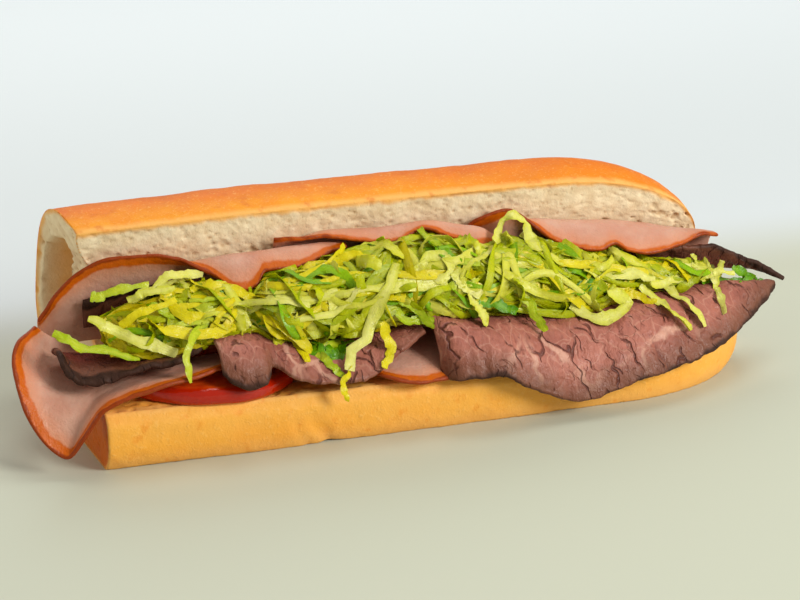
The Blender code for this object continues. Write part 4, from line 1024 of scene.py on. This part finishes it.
def layOneByOne(name, kind):
    # shreds along given lines, facing outwards and a little to either side
    chance = np.random.default_rng(11)
    widths, lines = zip(*kind["lines"])
    count, t = len(lines), np.linspace(0, 1, 20)
    centres = np.array([along(np.column_stack([np.linspace(0, 1, len(line)), line]), t) for line in lines])
    centres = centres + np.stack([wavering(chance, count, t.size, 0.35) for _ in range(3)], axis=-1)
    turn = np.radians(chance.uniform(-30, 30, (count, 1)) + chance.uniform(-70, 70, (count, 1)) * (t - 0.5))
    facing = np.stack([np.sin(turn), -0.75 * np.cos(turn), 0.65 * np.cos(turn)], axis=-1)
    ribbons(name, kind, chance, centres, facing, np.array(widths), chance.uniform(0.1, 0.5, count), raggedness=0.4)


def lettuceCore():
    x = np.linspace(*lettuce["coreSpan"], 240)[:, None] + np.zeros((1, 64))
    turn = np.linspace(0, 2 * math.pi, 64, endpoint=False)[None] + 0 * x
    points, _, girth = onCore(x, turn, 0 * x)
    folds = layeredNoise(points * np.array([0.5, 1, 1]), 5.0, 101)
    points = onCore(x, turn, girth * (lettuce["coreShrink"] - 1) + 1.3 * folds)[0]
    first, last = (points[[i]].mean(axis=1, keepdims=True) + 0 * points[[i]] for i in (0, -1))
    points = np.concatenate([first, points, last])
    s = Surface("lettuceCore", Roughness=0.5)
    # painted shade: the core is dark olive, standing in for the shaded inside of the heap
    s.feed(Base_Color=s.mix(s.mottle(4.0), lettuce["paintedShadeDeep"], lettuce["shadow"]))
    s.bump((s.mottle(2.0), 0.5))
    piece = makeMesh("lettuceCore", points, gridQuads(*points.shape[:2], wrap=True), {}, s.material)
    handIn(piece, "lettuce")


lettuceCore()
for lay, kinds in ((layShreds, shredKinds), (layCurls, curlKinds), (layOneByOne, laidShreds)):
    for kindName, kind in kinds.items():
        lay(kindName, kind)


# ---- floor, light and camera

studio = dict(
    near=colour(195, 199, 180), middle=colour(216, 224, 226), far=colour(242, 251, 255), changeAt=(0.07, 0.14, 0.6),
    cameraAt=(-0.25613, -0.77534, 0.36591), looking=(0.28652, 0.88181, -0.37461), lens=108.0, floorReach=6.0,
    skyTone=(1.0, 0.97, 0.90, 1), skyStrength=0.36,
    softboxes=dict(  # where, what it looks at, width in metres, watts, tone
        keyLight=((0.85, -1.0, 0.8), (0, 0, 0.03), 0.6, 19.0, (1.0, 0.98, 0.95)),
        topLight=((0.35, 0.2, 1.5), (0, 0, 0.03), 0.8, 5.5, (1.0, 0.99, 0.97)),
        farLight=((0.2, 2.6, 2.0), (0.3, 1.7, 0), 2.0, 24.0, (0.97, 0.99, 1.0)),
        sideLight=((-1.2, 0.25, 0.35), (-0.12, 0.03, 0.04), 0.5, 3.0, (1.0, 0.93, 0.80))),
)


def place(name, data, at=(0, 0, 0), looking=None):
    made = bpy.data.objects.new(name, data)
    made.location = at
    if looking is not None:
        made.rotation_euler = looking.to_track_quat("-Z", "Y").to_euler()
    bpy.context.scene.collection.objects.link(made)
    return made


def makeFloor():
    reach = studio["floorReach"]
    mesh = bpy.data.meshes.new("floor")
    corners = [(-reach, -reach, 0), (reach, -reach, 0), (reach, reach, 0), (-reach, reach, 0)]
    mesh.from_pydata(corners, [], [(0, 1, 2, 3)])
    s = Surface("floor", Roughness=0.6)
    backwards = s.add("SeparateXYZ", {0: s.add("TexCoord").outputs["Object"]}).outputs["Y"]
    first, second, third = studio["changeAt"]
    tone = s.mix(s.step(backwards, first, second), studio["near"], studio["middle"])
    s.feed(Base_Color=s.mix(s.step(backwards, second, third), tone, studio["far"]))
    mesh.materials.append(s.material)
    floor = place("floor", mesh)


def makeSky():
    world = bpy.data.worlds.new("daylight")
    world.use_nodes = True
    sky = {"Color": studio["skyTone"], "Strength": studio["skyStrength"]}
    Nodes(world.node_tree).connect(world.node_tree.nodes["Background"], sky)
    bpy.context.scene.world = world


def addSoftbox(name, at, towards, size, watts, tone):
    light = bpy.data.lights.new(name, "AREA")
    light.shape, light.size, light.energy, light.color = "DISK", size, watts, tone
    place(name, light, at, Vector(towards) - Vector(at))


def makeCamera():
    lens = bpy.data.cameras.new("camera")
    lens.lens, lens.sensor_width, lens.clip_start = studio["lens"], 36.0, 0.01
    bpy.context.scene.camera = place("camera", lens, studio["cameraAt"], Vector(studio["looking"]))


makeFloor()
makeSky()
for lightName, values in studio["softboxes"].items():
    addSoftbox(lightName, *values)
makeCamera()
bpy.context.scene.view_settings.view_transform = "Standard"
print("floor, lights and camera set")
